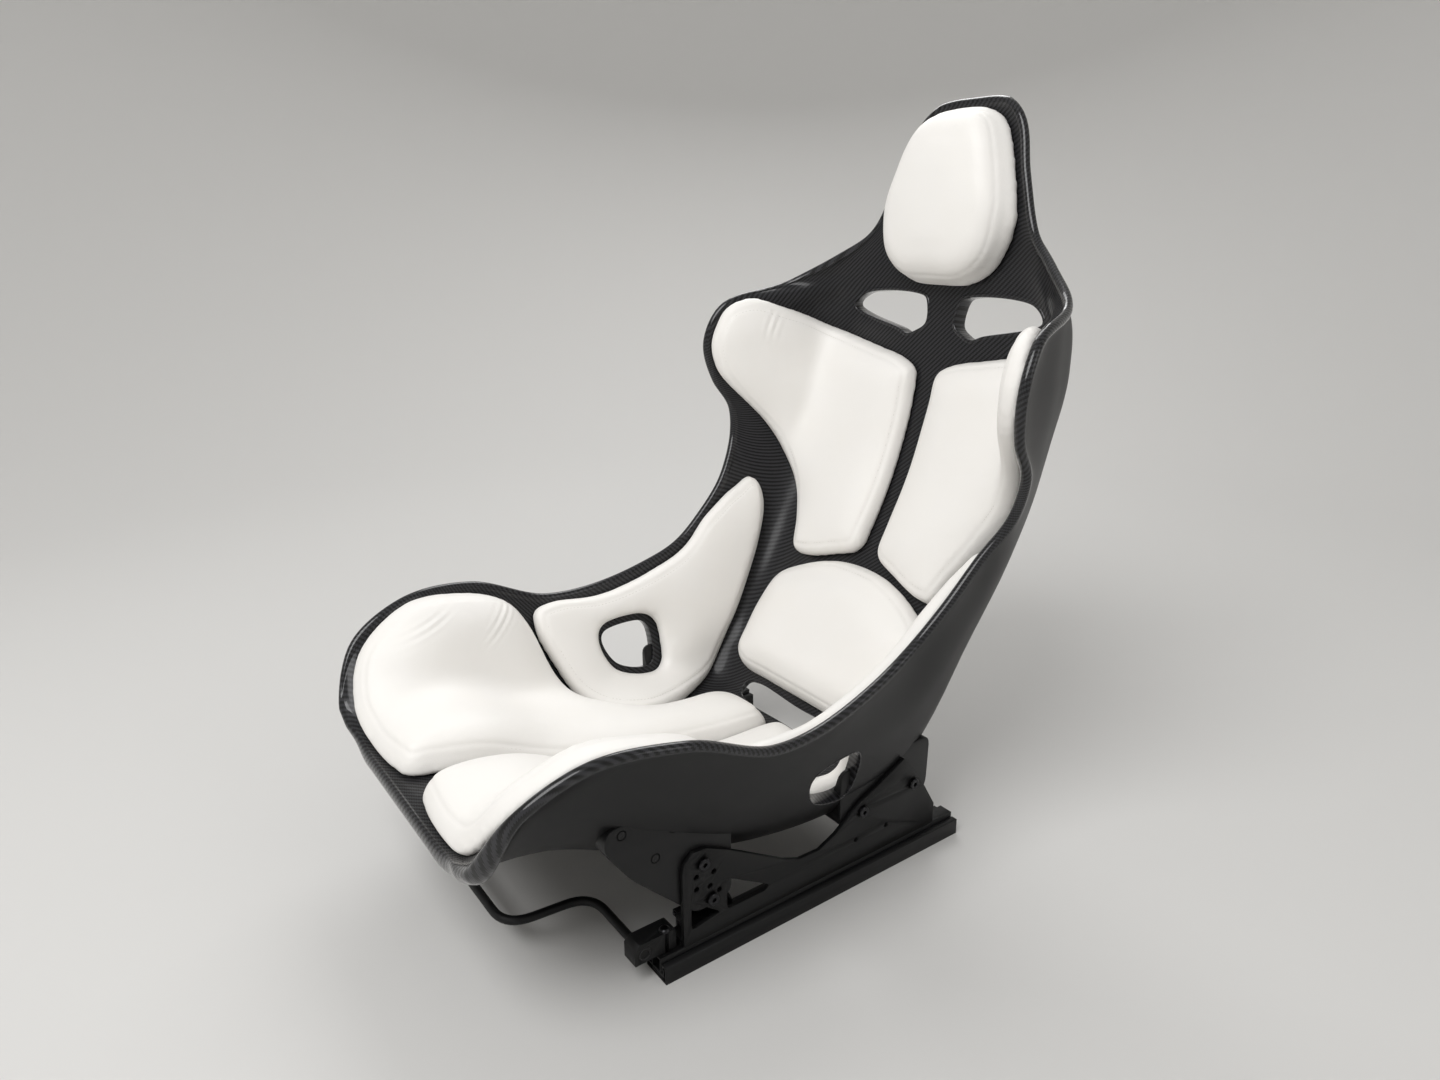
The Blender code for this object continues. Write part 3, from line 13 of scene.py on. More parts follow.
import bmesh
import bpy
import numpy as np
from bpy.props import FloatProperty, FloatVectorProperty, IntProperty, PointerProperty, StringProperty
from mathutils import Matrix, Vector

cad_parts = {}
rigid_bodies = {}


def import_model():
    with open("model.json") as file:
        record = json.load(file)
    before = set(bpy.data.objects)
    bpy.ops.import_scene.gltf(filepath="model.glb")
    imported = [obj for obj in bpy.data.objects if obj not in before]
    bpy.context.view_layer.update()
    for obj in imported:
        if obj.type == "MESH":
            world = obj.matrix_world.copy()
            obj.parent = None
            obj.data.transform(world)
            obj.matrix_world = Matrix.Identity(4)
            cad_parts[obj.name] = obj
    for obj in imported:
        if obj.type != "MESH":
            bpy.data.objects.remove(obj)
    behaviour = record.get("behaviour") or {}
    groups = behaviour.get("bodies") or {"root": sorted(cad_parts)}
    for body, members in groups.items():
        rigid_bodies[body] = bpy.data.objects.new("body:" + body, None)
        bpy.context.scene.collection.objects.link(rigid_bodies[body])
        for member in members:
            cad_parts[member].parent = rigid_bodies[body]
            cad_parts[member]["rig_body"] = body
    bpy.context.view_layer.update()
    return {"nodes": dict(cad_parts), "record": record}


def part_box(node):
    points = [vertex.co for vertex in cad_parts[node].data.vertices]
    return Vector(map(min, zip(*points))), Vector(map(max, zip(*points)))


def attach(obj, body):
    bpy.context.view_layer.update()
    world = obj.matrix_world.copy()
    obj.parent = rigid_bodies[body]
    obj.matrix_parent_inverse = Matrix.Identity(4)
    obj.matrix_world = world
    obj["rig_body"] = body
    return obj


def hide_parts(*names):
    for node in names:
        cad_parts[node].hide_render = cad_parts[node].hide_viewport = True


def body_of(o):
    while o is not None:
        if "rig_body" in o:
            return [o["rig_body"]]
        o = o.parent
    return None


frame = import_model()

bl_info = {
    "name": "Racing seat looks",
    "version": (1, 0, 0),
    "blender": (4, 5, 0),
    "location": "View3D > Sidebar > Racing seat",
    "description": "Finished surfaces, pads and hardware of a laminated bucket seat on sliding rails",
    "category": "Object",
}

MM = 0.001
CURVE_STEPS = 1601
SIDES = (("left", 1), ("right", -1))

# Seat shell: (middle y, middle z, flat half width, outer edge of the rim x, y, z) from lip to head.
SHELL_SECTIONS = (
    (-0.425, 0.175, 0.150, 0.200, -0.425, 0.190),
    (-0.390, 0.176, 0.158, 0.230, -0.387, 0.263),
    (-0.328, 0.168, 0.165, 0.2425, -0.319, 0.298),
    (-0.223, 0.124, 0.175, 0.257, -0.223, 0.295),
    (-0.103, 0.094, 0.186, 0.255, -0.113, 0.252),
    (0.037, 0.079, 0.190, 0.240, 0.032, 0.269),
    (0.112, 0.083, 0.190, 0.233, 0.095, 0.295),
    (0.162, 0.134, 0.190, 0.236, 0.140, 0.331),
    (0.217, 0.219, 0.190, 0.244, 0.188, 0.384),
    (0.274, 0.314, 0.192, 0.264, 0.217, 0.437),
    (0.320, 0.404, 0.195, 0.272, 0.218, 0.474),
    (0.349, 0.489, 0.202, 0.278, 0.192, 0.517),
    (0.370, 0.579, 0.205, 0.2845, 0.181, 0.569),
    (0.379, 0.634, 0.190, 0.279, 0.207, 0.624),
    (0.3825, 0.664, 0.165, 0.250, 0.297, 0.650),
    (0.3865, 0.704, 0.140, 0.190, 0.346, 0.683),
    (0.392, 0.749, 0.100, 0.143, 0.374, 0.719),
    (0.404, 0.824, 0.075, 0.108, 0.390, 0.794),
    (0.414, 0.874, 0.055, 0.085, 0.404, 0.859),
    (0.416, 0.894, 0.035, 0.058, 0.411, 0.889),
)

# Openings and pads, as (station, girth) outlines for the sitter's left side
HARNESS_OPENING = ((1.162, 0.166), (1.181, 0.150), (1.184, 0.036), (1.176, 0.029), (1.148, 0.026),
                   (1.136, 0.042), (1.131, 0.058), (1.137, 0.075))
LAP_OPENING = ((0.394, 0.270), (0.402, 0.284), (0.456, 0.290), (0.467, 0.280), (0.470, 0.252),
               (0.464, 0.227), (0.453, 0.221), (0.408, 0.235))
STRAP_SLOT = ((0.551, 0.090), (0.560, 0.112), (0.578, 0.112), (0.584, 0.095), (0.582, 0.0),
              (0.584, -0.095), (0.578, -0.112), (0.560, -0.112), (0.551, -0.090), (0.551, 0.0))
HEAD_PAD = ((1.196, 0.0), (1.199, 0.050), (1.219, 0.084), (1.258, 0.106), (1.305, 0.113), (1.345, 0.106),
            (1.385, 0.088), (1.411, 0.064), (1.423, 0.030), (1.425, 0.0))
SHOULDER_PAD = ((1.040, 0.014), (1.085, 0.020), (1.100, 0.045), (1.112, 0.100), (1.132, 0.190), (1.165, 0.265),
                (1.181, 0.328), (1.167, 0.373), (1.125, 0.391), (1.050, 0.368), (0.983, 0.313), (0.917, 0.244),
                (0.870, 0.190), (0.822, 0.158), (0.782, 0.138), (0.780, 0.112), (0.796, 0.060), (0.816, 0.018),
                (0.860, 0.012), (0.950, 0.012))
LUMBAR_PAD = ((0.800, 0.0), (0.795, 0.050), (0.775, 0.105), (0.745, 0.148), (0.700, 0.164), (0.645, 0.166),
              (0.610, 0.158), (0.592, 0.128), (0.590, 0.070), (0.590, 0.0))
HIP_PAD = ((0.812, 0.262), (0.800, 0.238), (0.741, 0.214), (0.660, 0.199), (0.585, 0.188), (0.530, 0.168),
           (0.467, 0.137), (0.410, 0.126), (0.360, 0.148), (0.328, 0.186), (0.307, 0.238), (0.292, 0.288),
           (0.300, 0.321), (0.340, 0.337), (0.400, 0.340), (0.470, 0.357), (0.547, 0.380), (0.610, 0.376),
           (0.680, 0.350), (0.740, 0.318), (0.792, 0.290))
HIP_PAD_HOLE = ((0.388, 0.268), (0.398, 0.290), (0.458, 0.297), (0.474, 0.284), (0.477, 0.252), (0.471, 0.222),
                (0.454, 0.214), (0.402, 0.229))
THIGH_PAD = ((0.016, 0.060), (0.013, 0.120), (0.016, 0.182), (0.036, 0.246), (0.083, 0.292), (0.150, 0.322),
             (0.215, 0.338), (0.257, 0.331), (0.281, 0.301), (0.299, 0.240), (0.320, 0.188), (0.351, 0.148),
             (0.398, 0.119), (0.450, 0.115), (0.500, 0.112), (0.528, 0.090), (0.536, 0.050), (0.530, 0.012),
             (0.400, 0.008), (0.200, 0.008), (0.060, 0.010), (0.026, 0.022))

# Bosses under the wings, as (y, z)
FRONT_BOSS = ((-0.292, 0.176), (-0.286, 0.198), (-0.190, 0.198), (-0.140, 0.150), (-0.140, 0.062),
              (-0.186, 0.056), (-0.262, 0.132))
REAR_BOSS = ((0.015, 0.150), (0.160, 0.150), (0.158, 0.082), (0.140, 0.070), (0.030, 0.070), (0.015, 0.080))


# ---------------------------------------------------------------- settings
def metres(name, description, default):
    """A length that a user may change."""
    return FloatProperty(name=name, description=description, default=default, unit="LENGTH")


def hex_value(name, description, default):
    """A colour that a user may change, as an sRGB hex value."""
    return StringProperty(name=name, description=description, default=default)


class SeatShellSettings(bpy.types.PropertyGroup):
    """Sizes of the laminated shell."""
    side_wall: metres("Side wall", "Sandwich wall of the wings", 0.016)
    pan_wall: metres("Pan wall", "Laminate under the pads", 0.006)
    back_wall: metres("Back wall", "Sandwich wall of the back", 0.020)
    head_wall: metres("Head wall", "Wall of the head section", 0.010)
    lip_wall: metres("Front lip", "Wall of the rolled front lip", 0.022)
    rim_wall: metres("Rim wall", "Wall just inside the rim's bead", 0.011)
    rim_rise: metres("Rim rise", "Height of the rolled rim above the inner face", 0.0016)
    rim_band: metres("Rim band", "Width of the rolled rim", 0.008)
    rows: IntProperty(name="Rows", description="Rows of faces from lip to head", default=300)
    tow: metres("Tow", "Width of one carbon tow of the twill", 0.0019)


class SeatPadSettings(bpy.types.PropertyGroup):
    """Sizes and simulation of the leather pads."""
    head: metres("Head pad", "Height of the head pad", 0.052)
    shoulder: metres("Shoulder pads", "Height of a shoulder pad", 0.030)
    lumbar: metres("Lumbar pad", "Height of the lumbar pad", 0.034)
    hip: metres("Hip pads", "Height of a hip pad", 0.026)
    thigh: metres("Thigh pads", "Height of a thigh pad", 0.042)
    voxel: metres("Voxel", "Cell of the remesh before the simulation", 0.0046)
    pressure: FloatProperty(name="Pressure", description="Pressure of the foam on the cover", default=4.0)
    swell: metres("Swell", "Furthest that the cover may move", 0.006)
    seam: metres("Seam", "Distance of the seam from the pad's edge", 0.012)
    groove: metres("Groove", "Depth of the seam's groove", 0.0010)
    stitch: metres("Stitch", "Length of one stitch and its gap", 0.0055)
    fold: metres("Fold", "Height of the folds in the cover", 0.0007)


class SeatHardwareSettings(bpy.types.PropertyGroup):
    """Sizes of the mounts, bolts and release bar."""
    plate: metres("Plate", "Thickness of a side mount", 0.005)
    edge: metres("Edge", "Rounding of cut steel edges", 0.0005)
    bolt_head: metres("Bolt head", "Height of a mount bolt's head", 0.0045)
    handle: metres("Handle", "Radius of the release bar", 0.005)
    handle_arm: metres("Handle arm", "Distance of the bar's arms from the middle", 0.102)
    handle_bend: metres("Handle bend", "Length of the bar's bends", 0.032)


class SeatFinishSettings(bpy.types.PropertyGroup):
    """Colours of the finishes, and the camera's place."""
    # Painted highlight and shade of the twill: the first colour below is the lit tows on top, the second the painted
    # shade of the tows under them.
    carbon: hex_value("Carbon", "Clear-coated carbon tows", "#303033")
    carbon_painted_shade: hex_value("Carbon shade", "Tows that run across the light", "#030303")
    lacquer: hex_value("Lacquer", "Satin lacquer of the outer face", "#0F0F10")
    leather: hex_value("Leather", "White leather of the pads", "#F4F2EF")
    thread: hex_value("Thread", "Sewing thread", "#E4E1DA")
    steel: hex_value("Powder coat", "Black powder-coated steel", "#0A0A0B")
    bolts: hex_value("Bolts", "Blackened bolts", "#3A3A3C")
    nylon: hex_value("Nylon", "Moulded black nylon", "#0E0E0F")
    floor: hex_value("Floor", "Floor and backdrop", "#D3D2D0")
    camera_place: FloatVectorProperty(name="Camera", description="Place of the camera", subtype="XYZ",
                                      default=(0.9233, -0.658, 0.7534))


# ---------------------------------------------------------------- small tools
def linear(hex_colour):
    """An sRGB hex value as linear red, green, blue and alpha."""
    channels = [int(hex_colour[place:place + 2], 16) / 255 for place in (1, 3, 5)]
    return (*[c / 12.92 if c <= 0.04045 else ((c + 0.055) / 1.055) ** 2.4 for c in channels], 1.0)


def smooth_step(value, low, high):
    """0 below low, 1 above high, and a cubic without slope at its ends between."""
    part = np.clip((value - low) / (high - low), 0.0, 1.0)
    return part * part * (3 - 2 * part)


def unit(vectors):
    """Vectors over their lengths."""
    return vectors / np.linalg.norm(vectors, axis=-1, keepdims=True)


def cubic(knots, values, tangents, places):
    """A curve through values at knots, made of the cubics that have the given end tangents."""
    steps = np.diff(knots)
    index = np.clip(np.searchsorted(knots, places, side="right") - 1, 0, len(knots) - 2)
    width = steps[index][:, None]
    part = ((places - knots[index]) / steps[index])[:, None]
    return (values[index] * (1 + 2 * part) * (1 - part) ** 2 + tangents[index] * width * part * (1 - part) ** 2
            + values[index + 1] * part ** 2 * (3 - 2 * part)
            + tangents[index + 1] * width * part ** 2 * (part - 1))


def hermite(knots, values, places):
    """A smooth curve: each tangent is the neighbouring slopes' mean, weighted by the opposite spans."""
    steps = np.diff(knots)
    slopes = np.diff(values, axis=0) / steps[:, None]
    tangents = np.empty_like(values)
    tangents[0], tangents[-1] = slopes[0], slopes[-1]
    tangents[1:-1] = (slopes[:-1] * steps[1:, None] + slopes[1:] * steps[:-1, None]) / (steps[1:] + steps[:-1])[:, None]
    return cubic(knots, values, tangents, places)


def rising(knots, values, places):
    """A curve through rising values that never turns back: its tangents are harmonic means."""
    slopes = np.diff(values) / np.diff(knots)
    tangents = np.concatenate((slopes[:1], 2 * slopes[:-1] * slopes[1:] / (slopes[:-1] + slopes[1:]), slopes[-1:]))
    return cubic(knots, values[:, None], tangents[:, None], places)[:, 0]


def lengths_along(points):
    """Distance along a route at each of its points."""
    return np.concatenate(([0.0], np.cumsum(np.linalg.norm(np.diff(points, axis=0), axis=1))))


def closed_curve(points, count):
    """A smooth closed outline through given points, read at even lengths along it."""
    points = np.array(points, float)
    ring = np.vstack((points[-3:], points, points[:4]))
    knots = np.concatenate(([0.0], np.cumsum(np.sqrt(np.linalg.norm(np.diff(ring, axis=0), axis=1)))))
    fine = hermite(knots, ring, np.linspace(knots[3], knots[len(points) + 3], CURVE_STEPS))
    along = lengths_along(fine)
    even = np.linspace(0.0, along[-1], count + 1)[:-1]
    return np.stack([np.interp(even, along, fine[:, axis]) for axis in range(2)], axis=1)


def inset(outline, distance):
    """Moves a closed outline inwards along its own normals."""
    ahead = unit(np.roll(outline, -1, axis=0) - np.roll(outline, 1, axis=0))
    side = np.stack((-ahead[:, 1], ahead[:, 0]), axis=1)
    x, y = outline[:, 0], outline[:, 1]
    area = 0.5 * np.sum(x * np.roll(y, -1) - np.roll(x, -1) * y)
    return outline + side * distance * np.sign(area)


def distance_to(points, outline, block=4096):
    """Shortest distance from each point to a closed outline, in blocks of points."""
    start, ahead = outline, np.roll(outline, -1, axis=0) - outline
    found = []
    for first in range(0, len(points), block):
        part = points[first:first + block, None] - start[None]
        share = np.clip(np.sum(part * ahead[None], axis=2) / np.sum(ahead ** 2, axis=1), 0.0, 1.0)
        found.append(np.linalg.norm(part - share[..., None] * ahead[None], axis=2).min(axis=1))
    return np.concatenate(found)


def bend(start, corner, end, steps):
    """A quadratic curve from start to end that leans towards a corner."""
    part = np.linspace(0.0, 1.0, steps)[:, None]
    return start * (1 - part) ** 2 + 2 * corner * part * (1 - part) + end * part ** 2


def rounded(points, radius, steps=5):
    """A closed outline whose corners are quadratic curves that start a radius before them."""
    made = []
    total = len(points)
    for index, corner in enumerate(points):
        corner = np.array(corner)
        before = np.array(points[index - 1]) - corner
        after = np.array(points[(index + 1) % total]) - corner
        reach = [min(radius, 0.45 * np.linalg.norm(side)) for side in (before, after)]
        start, end = corner + unit(before) * reach[0], corner + unit(after) * reach[1]
        made.append(bend(start, corner, end, steps))
    return np.vstack(made)


def mirrored(outline):
    """An outline of the sitter's right side from the left one."""
    return [(station, -girth) for station, girth in outline]


def whole(half):
    """A middle pad's outline from its left half."""
    left = [point for point in half if point[1] > 0]
    return [half[0]] + left + [half[-1]] + mirrored(left)[::-1]


# ---------------------------------------------------------------- meshes
def add_object(name, data):
    """An object for a mesh, a curve, a lamp or a camera, linked to the scene."""
    item = bpy.data.objects.new(name, data)
    bpy.context.scene.collection.objects.link(item)
    return item


def new_mesh(name, points, faces, finishes, uv=None, kinds=None):
    """A mesh object from points and lists of faces, turned outwards, with an optional UV for each
    point and, for each face, an optional number of its finish."""
    mesh = bpy.data.meshes.new(name)
    mesh.from_pydata(np.asarray(points, float).tolist(), [], faces)
    if uv is not None:
        corners = np.empty(len(mesh.loops), np.int32)
        mesh.loops.foreach_get("vertex_index", corners)
        mesh.uv_layers.new(name="surface").data.foreach_set("uv", np.asarray(uv, np.float32)[corners].ravel())
    for finish in finishes if isinstance(finishes, tuple) else (finishes,):
        if finish:
            mesh.materials.append(finish)
    if kinds is not None:
        mesh.polygons.foreach_set("material_index", np.asarray(kinds, np.int32))
    face_outwards(mesh)
    mesh.shade_smooth()
    return add_object(name, mesh)


def face_outwards(mesh):
    """Merges doubled vertices and turns the faces outwards."""
    solid = bmesh.new()
    solid.from_mesh(mesh)
    bmesh.ops.remove_doubles(solid, verts=solid.verts, dist=1e-6)
    bmesh.ops.recalc_face_normals(solid, faces=solid.faces)
    solid.to_mesh(mesh)
    solid.free()


def apply_modifiers(item):
    """Replaces an object's mesh by the one that its modifiers make."""
    bpy.context.view_layer.update()
    graph = bpy.context.evaluated_depsgraph_get()
    made = bpy.data.meshes.new_from_object(item.evaluated_get(graph), preserve_all_data_layers=True, depsgraph=graph)
    old = item.data
    item.modifiers.clear()
    item.data = made
    bpy.data.meshes.remove(old)
    return item


def cut_out(item, cutters):
    """Cuts objects out of an object's mesh and removes them."""
    for cutter in cutters:
        modifier = item.modifiers.new("cut", "BOOLEAN")
        modifier.operation = "DIFFERENCE"
        modifier.solver = "EXACT"
        modifier.object = cutter
    apply_modifiers(item)
    for cutter in cutters:
        bpy.data.objects.remove(cutter, do_unlink=True)
    return item


def soften(item, width):
    """Rounds an object's sharp edges."""
    bevel = item.modifiers.new("edges", "BEVEL")
    bevel.width = width
    bevel.segments = 2
    bevel.limit_method = "ANGLE"
    bevel.angle_limit = math.radians(30.0)
    bevel.harden_normals = True
    return apply_modifiers(item)


def by_angle(item, degrees=35.0):
    """Shades an object smooth except over its sharp edges."""
    item.data.shade_smooth()
    item.data.set_sharp_from_angle(angle=math.radians(degrees))
    return item


def ring_faces(rings):
    """Quads between rings of point numbers."""
    return np.vstack([np.stack((low, np.roll(low, -1), np.roll(high, -1), high), axis=-1)
                      for low, high in zip(rings, rings[1:])]).tolist()


def grid_faces(index):
    """Quads between the rows and columns of point numbers."""
    return np.stack((index[:-1, :-1], index[:-1, 1:], index[1:, 1:], index[1:, :-1]), axis=-1).reshape(-1, 4)


def fan_faces(row, hub):
    """Triangles between a ring of point numbers and one point."""
    return np.stack((row, np.roll(row, -1), np.full(len(row), hub)), axis=-1).tolist()


def plate(name, outline, low, high, material, edge):
    """A flat outline given thickness along X, its edges rounded by a curve's bevel."""
    curve = bpy.data.curves.new(name, "CURVE")
    curve.dimensions = "2D"
    curve.fill_mode = "BOTH"
    curve.extrude = (high - low) / 2 - edge
    curve.bevel_depth = edge
    curve.bevel_resolution = 2
    curve.offset = -edge
    spline = curve.splines.new("POLY")
    spline.points.add(len(outline) - 1)
    spline.use_cyclic_u = True
    flat = np.column_stack((outline, np.zeros(len(outline)), np.ones(len(outline))))
    spline.points.foreach_set("co", flat.astype(np.float32).ravel())
    item = add_object(name, curve)
    bpy.context.view_layer.update()
    mesh = bpy.data.meshes.new_from_object(item.evaluated_get(bpy.context.evaluated_depsgraph_get()))
    bpy.data.objects.remove(item, do_unlink=True)
    mesh.transform(Matrix(((0, 0, 1, (low + high) / 2), (1, 0, 0, 0), (0, 1, 0, 0), (0, 0, 0, 1))))
    face_outwards(mesh)
    mesh.materials.clear()
    mesh.materials.append(material)
    return by_angle(add_object(name, mesh))


def turning(axis):
    """The rotation that puts +Z on an axis."""
    return np.array(Vector((0, 0, 1)).rotation_difference(Vector(axis)).to_matrix())


def revolve(name, radii, lengths, place, axis, material, hexes=(), sides=48, closed=False):
    """Rings of given radii at lengths along an axis; a ring named in hexes is a hexagon, whose
    radius at each angle is its flat distance over the cosine of the angle from the nearest flat."""
    angle = np.arange(sides) * 2 * math.pi / sides
    radii = np.asarray(radii, float)[:, None] * np.ones(sides)[None]
    to_flat = (angle + math.pi / 6) % (math.pi / 3) - math.pi / 6
    for row in hexes:
        radii[row] /= np.cos(to_flat)
    points = np.stack((radii * np.cos(angle), radii * np.sin(angle),
                       np.asarray(lengths, float)[:, None] * np.ones(sides)[None]), axis=-1)
    points = points @ turning(axis).T + np.array(place)
    count = len(radii)
    rings = np.arange(count * sides).reshape(count, sides)
    faces = ring_faces(list(rings) + ([rings[0]] if closed else []))
    if not closed:
        faces += [rings[0][::-1].tolist(), rings[-1].tolist()]
    return by_angle(new_mesh(name, points.reshape(-1, 3), faces, material))


def smooth_route(points, length, steps=10):
    """A route whose inner corners are quadratic curves."""
    points = np.array(points, float)
    made = [points[:1]]
    for before, corner, after in zip(points, points[1:], points[2:]):
        reach = min(length, 0.48 * np.linalg.norm(before - corner), 0.48 * np.linalg.norm(after - corner))
        start, end = corner + unit(before - corner) * reach, corner + unit(after - corner) * reach
        made.append(bend(start, corner, end, steps))
    made.append(points[-1:])
    return np.vstack(made)


def tube(name, route, radius, material, sides=24):
    """A circle carried along a route, square to it, its ends closed by flat rings."""
    ahead = unit(np.gradient(route, axis=0))
    side = unit(np.cross(ahead, np.array((0.013, 0.017, 1.0))))
    up = np.cross(side, ahead)
    angle = np.arange(sides) * 2 * math.pi / sides
    points = route[:, None] + radius * (side[:, None] * np.cos(angle)[None, :, None]
                                        + up[:, None] * np.sin(angle)[None, :, None])
    rings = np.arange(len(route) * sides).reshape(len(route), sides)
    faces = ring_faces(list(rings)) + [rings[0][::-1].tolist(), rings[-1].tolist()]
    return by_angle(new_mesh(name, points.reshape(-1, 3), faces, material), 50.0)


# ---------------------------------------------------------------- the shell's surface
# Table of the inner surface, from the lip to the head and from the middle to the rim
TABLE_ROWS = 721
TABLE_COLUMNS = 81
SECTIONS = np.array(SHELL_SECTIONS)
KNOTS = lengths_along(SECTIONS[:, :2])
RIM_KNOTS = lengths_along(SECTIONS[:, 3:])
SHELL_LENGTH = KNOTS[-1]
POINT_PASSES = 12
NORMAL_PASSES = 72
# Bend between pan and wing, bead and corners of the rim, and the front lip
CORNER_LENGTH = 0.055
CORNER_STEPS = 48
RIM_BEAD = 0.006
RIM_CORNER = 0.012
LIP_LENGTH = 0.045
LIP_SETBACK = 0.006
LIP_BLEND = (0.62, 0.90)
WALL_BLEND = (0.40, 0.56)
RIM_BLEND = (0.74, 0.97)
BEAD_PASSES = 6
BEAD_STEPS = 11
RISE_START = 0.3
# Rows and columns of the fine shell: at the lip, at the step of the back, and across each half
LIP_ROWS = 9
STEP_ROWS = 7
ROW_GAP = 0.002
PAN_COLUMNS = 44
SIDE_COLUMNS = 15
SIDE_START = 0.90
# Stations where the wall grows to the back's and thins to the head's
BACK_STEP = 0.650
BACK_STEP_LENGTH = 0.010
SHOULDER_STATION = 1.19
HEAD_STATION = 1.30
FINISH_INSIDE, FINISH_OUTSIDE, FINISH_RIM = range(3)
# Openings: depths and height of their cutters, and scales of their lips
STRAP_DEPTH = 0.060
BELT_DEPTH = 0.050
CUTTER_RISE = 0.030
STRAP_LIP = 0.5
HARNESS_LIP = 0.8
LAP_LIP = 0.35
# (name, outline, first and last station of the shell that is cut out of it) of the bosses
BOSSES = (("front", FRONT_BOSS, (0.08, 0.42)), ("rear", REAR_BOSS, (0.36, 0.72)))
BOSS_DEPTH = 0.045
BOSS_CORNER = 0.012
BOSS_EDGE = 0.0015
BOSS_INSET = 0.003
MOUNT_GAP = 0.0003


def half_section(row):
    """Points from the middle to the rim at even lengths: flat, a quadratic bend, then the wing."""
    middle = np.array((0.0, row[0], row[1]))
    corner = middle + np.array((row[2], 0.0, 0.0))
    rim = np.array((row[3], row[4], row[5]))
    flat, wing = row[2], np.linalg.norm(rim - corner)
    reach = min(CORNER_LENGTH, 0.9 * flat, 0.8 * wing)
    start = corner + (middle - corner) * reach / flat
    end = corner + (rim - corner) * reach / wing
    points = np.vstack((middle, bend(start, corner, end, CORNER_STEPS), rim))
    along = lengths_along(points)
    even = np.linspace(0.0, along[-1], TABLE_COLUMNS)
    return np.stack([np.interp(even, along, points[:, axis]) for axis in range(3)], axis=1), along[-1]


def shell_table():
    """The inner surface as a grid of points and normals, and the girth to the rim at each station."""
    stations = np.linspace(0.0, SHELL_LENGTH, TABLE_ROWS)
    middles = hermite(KNOTS, SECTIONS[:, :3], stations)
    rims = hermite(RIM_KNOTS, SECTIONS[:, 3:], rising(KNOTS, RIM_KNOTS, stations))
    halves = [half_section(row) for row in np.hstack((middles, rims))]
    points = np.stack([half[0] for half in halves])
    for _ in range(POINT_PASSES):
        points[1:-1] = (points[:-2] + 2 * points[1:-1] + points[2:]) / 4
    normals = unit(np.cross(np.gradient(points, axis=1), np.gradient(points, axis=0)))
    normals[:, 0, 0] = 0.0
    for _ in range(NORMAL_PASSES):
        normals[1:-1] = (normals[:-2] + 2 * normals[1:-1] + normals[2:]) / 4
    return points, unit(normals), np.array([half[1] for half in halves])


TABLE_POINTS, TABLE_NORMALS, TABLE_GIRTHS = shell_table()


def girth_at(stations):
    """Girth from the middle to the rim."""
    return np.interp(stations, np.linspace(0.0, SHELL_LENGTH, TABLE_ROWS), TABLE_GIRTHS)


def edge_at(stations):
    """Girth of the inner face's edge: the rim less its bead, drawn in round the four corners by a
    quarter circle."""
    end = np.minimum(stations, SHELL_LENGTH - stations) - RIM_BEAD
    short = np.clip(RIM_CORNER - end, 0.0, RIM_CORNER)
    return girth_at(stations) - RIM_BEAD - RIM_CORNER + np.sqrt(RIM_CORNER ** 2 - short ** 2)


def on_shell(stations, girths, heights=0.0):
    """Points at a height above the inner surface, read from the table between its four nearest
    entries; beyond the rim a point keeps the rim's place."""
    stations, girths = np.broadcast_arrays(np.asarray(stations, float), np.asarray(girths, float))
    row = np.clip(stations / SHELL_LENGTH * (TABLE_ROWS - 1), 0.0, TABLE_ROWS - 1.001)
    column = np.clip(np.abs(girths) / girth_at(stations) * (TABLE_COLUMNS - 1), 0.0, TABLE_COLUMNS - 1.001)
    i, j = row.astype(int), column.astype(int)
    p, q = (row - i)[..., None], (column - j)[..., None]

    def read(table):
        return ((table[i, j] * (1 - q) + table[i, j + 1] * q) * (1 - p)
                + (table[i + 1, j] * (1 - q) + table[i + 1, j + 1] * q) * p)

    points = read(TABLE_POINTS) + unit(read(TABLE_NORMALS)) * np.asarray(heights)[..., None]
    points[..., 0] *= np.where(girths < 0, -1.0, 1.0)
    return points


def shell_wall(stations, parts, sizes):
    """Wall thickness: parts runs from 0 in the middle to 1 at the rim."""
    lip = 1 - smooth_step(stations, 0.0, LIP_LENGTH)
    back = smooth_step(stations, BACK_STEP, BACK_STEP + BACK_STEP_LENGTH)
    head = smooth_step(stations, SHOULDER_STATION, HEAD_STATION)
    middle = sizes.pan_wall + (sizes.back_wall - sizes.pan_wall) * back + (sizes.head_wall - sizes.back_wall) * head
    side = sizes.side_wall + (sizes.head_wall - sizes.side_wall) * head
    side = side + (np.minimum(side, sizes.rim_wall) - side) * smooth_step(parts, *RIM_BLEND)
    wall = middle + (side - middle) * smooth_step(parts, *WALL_BLEND)
    return wall + (sizes.lip_wall - wall) * lip


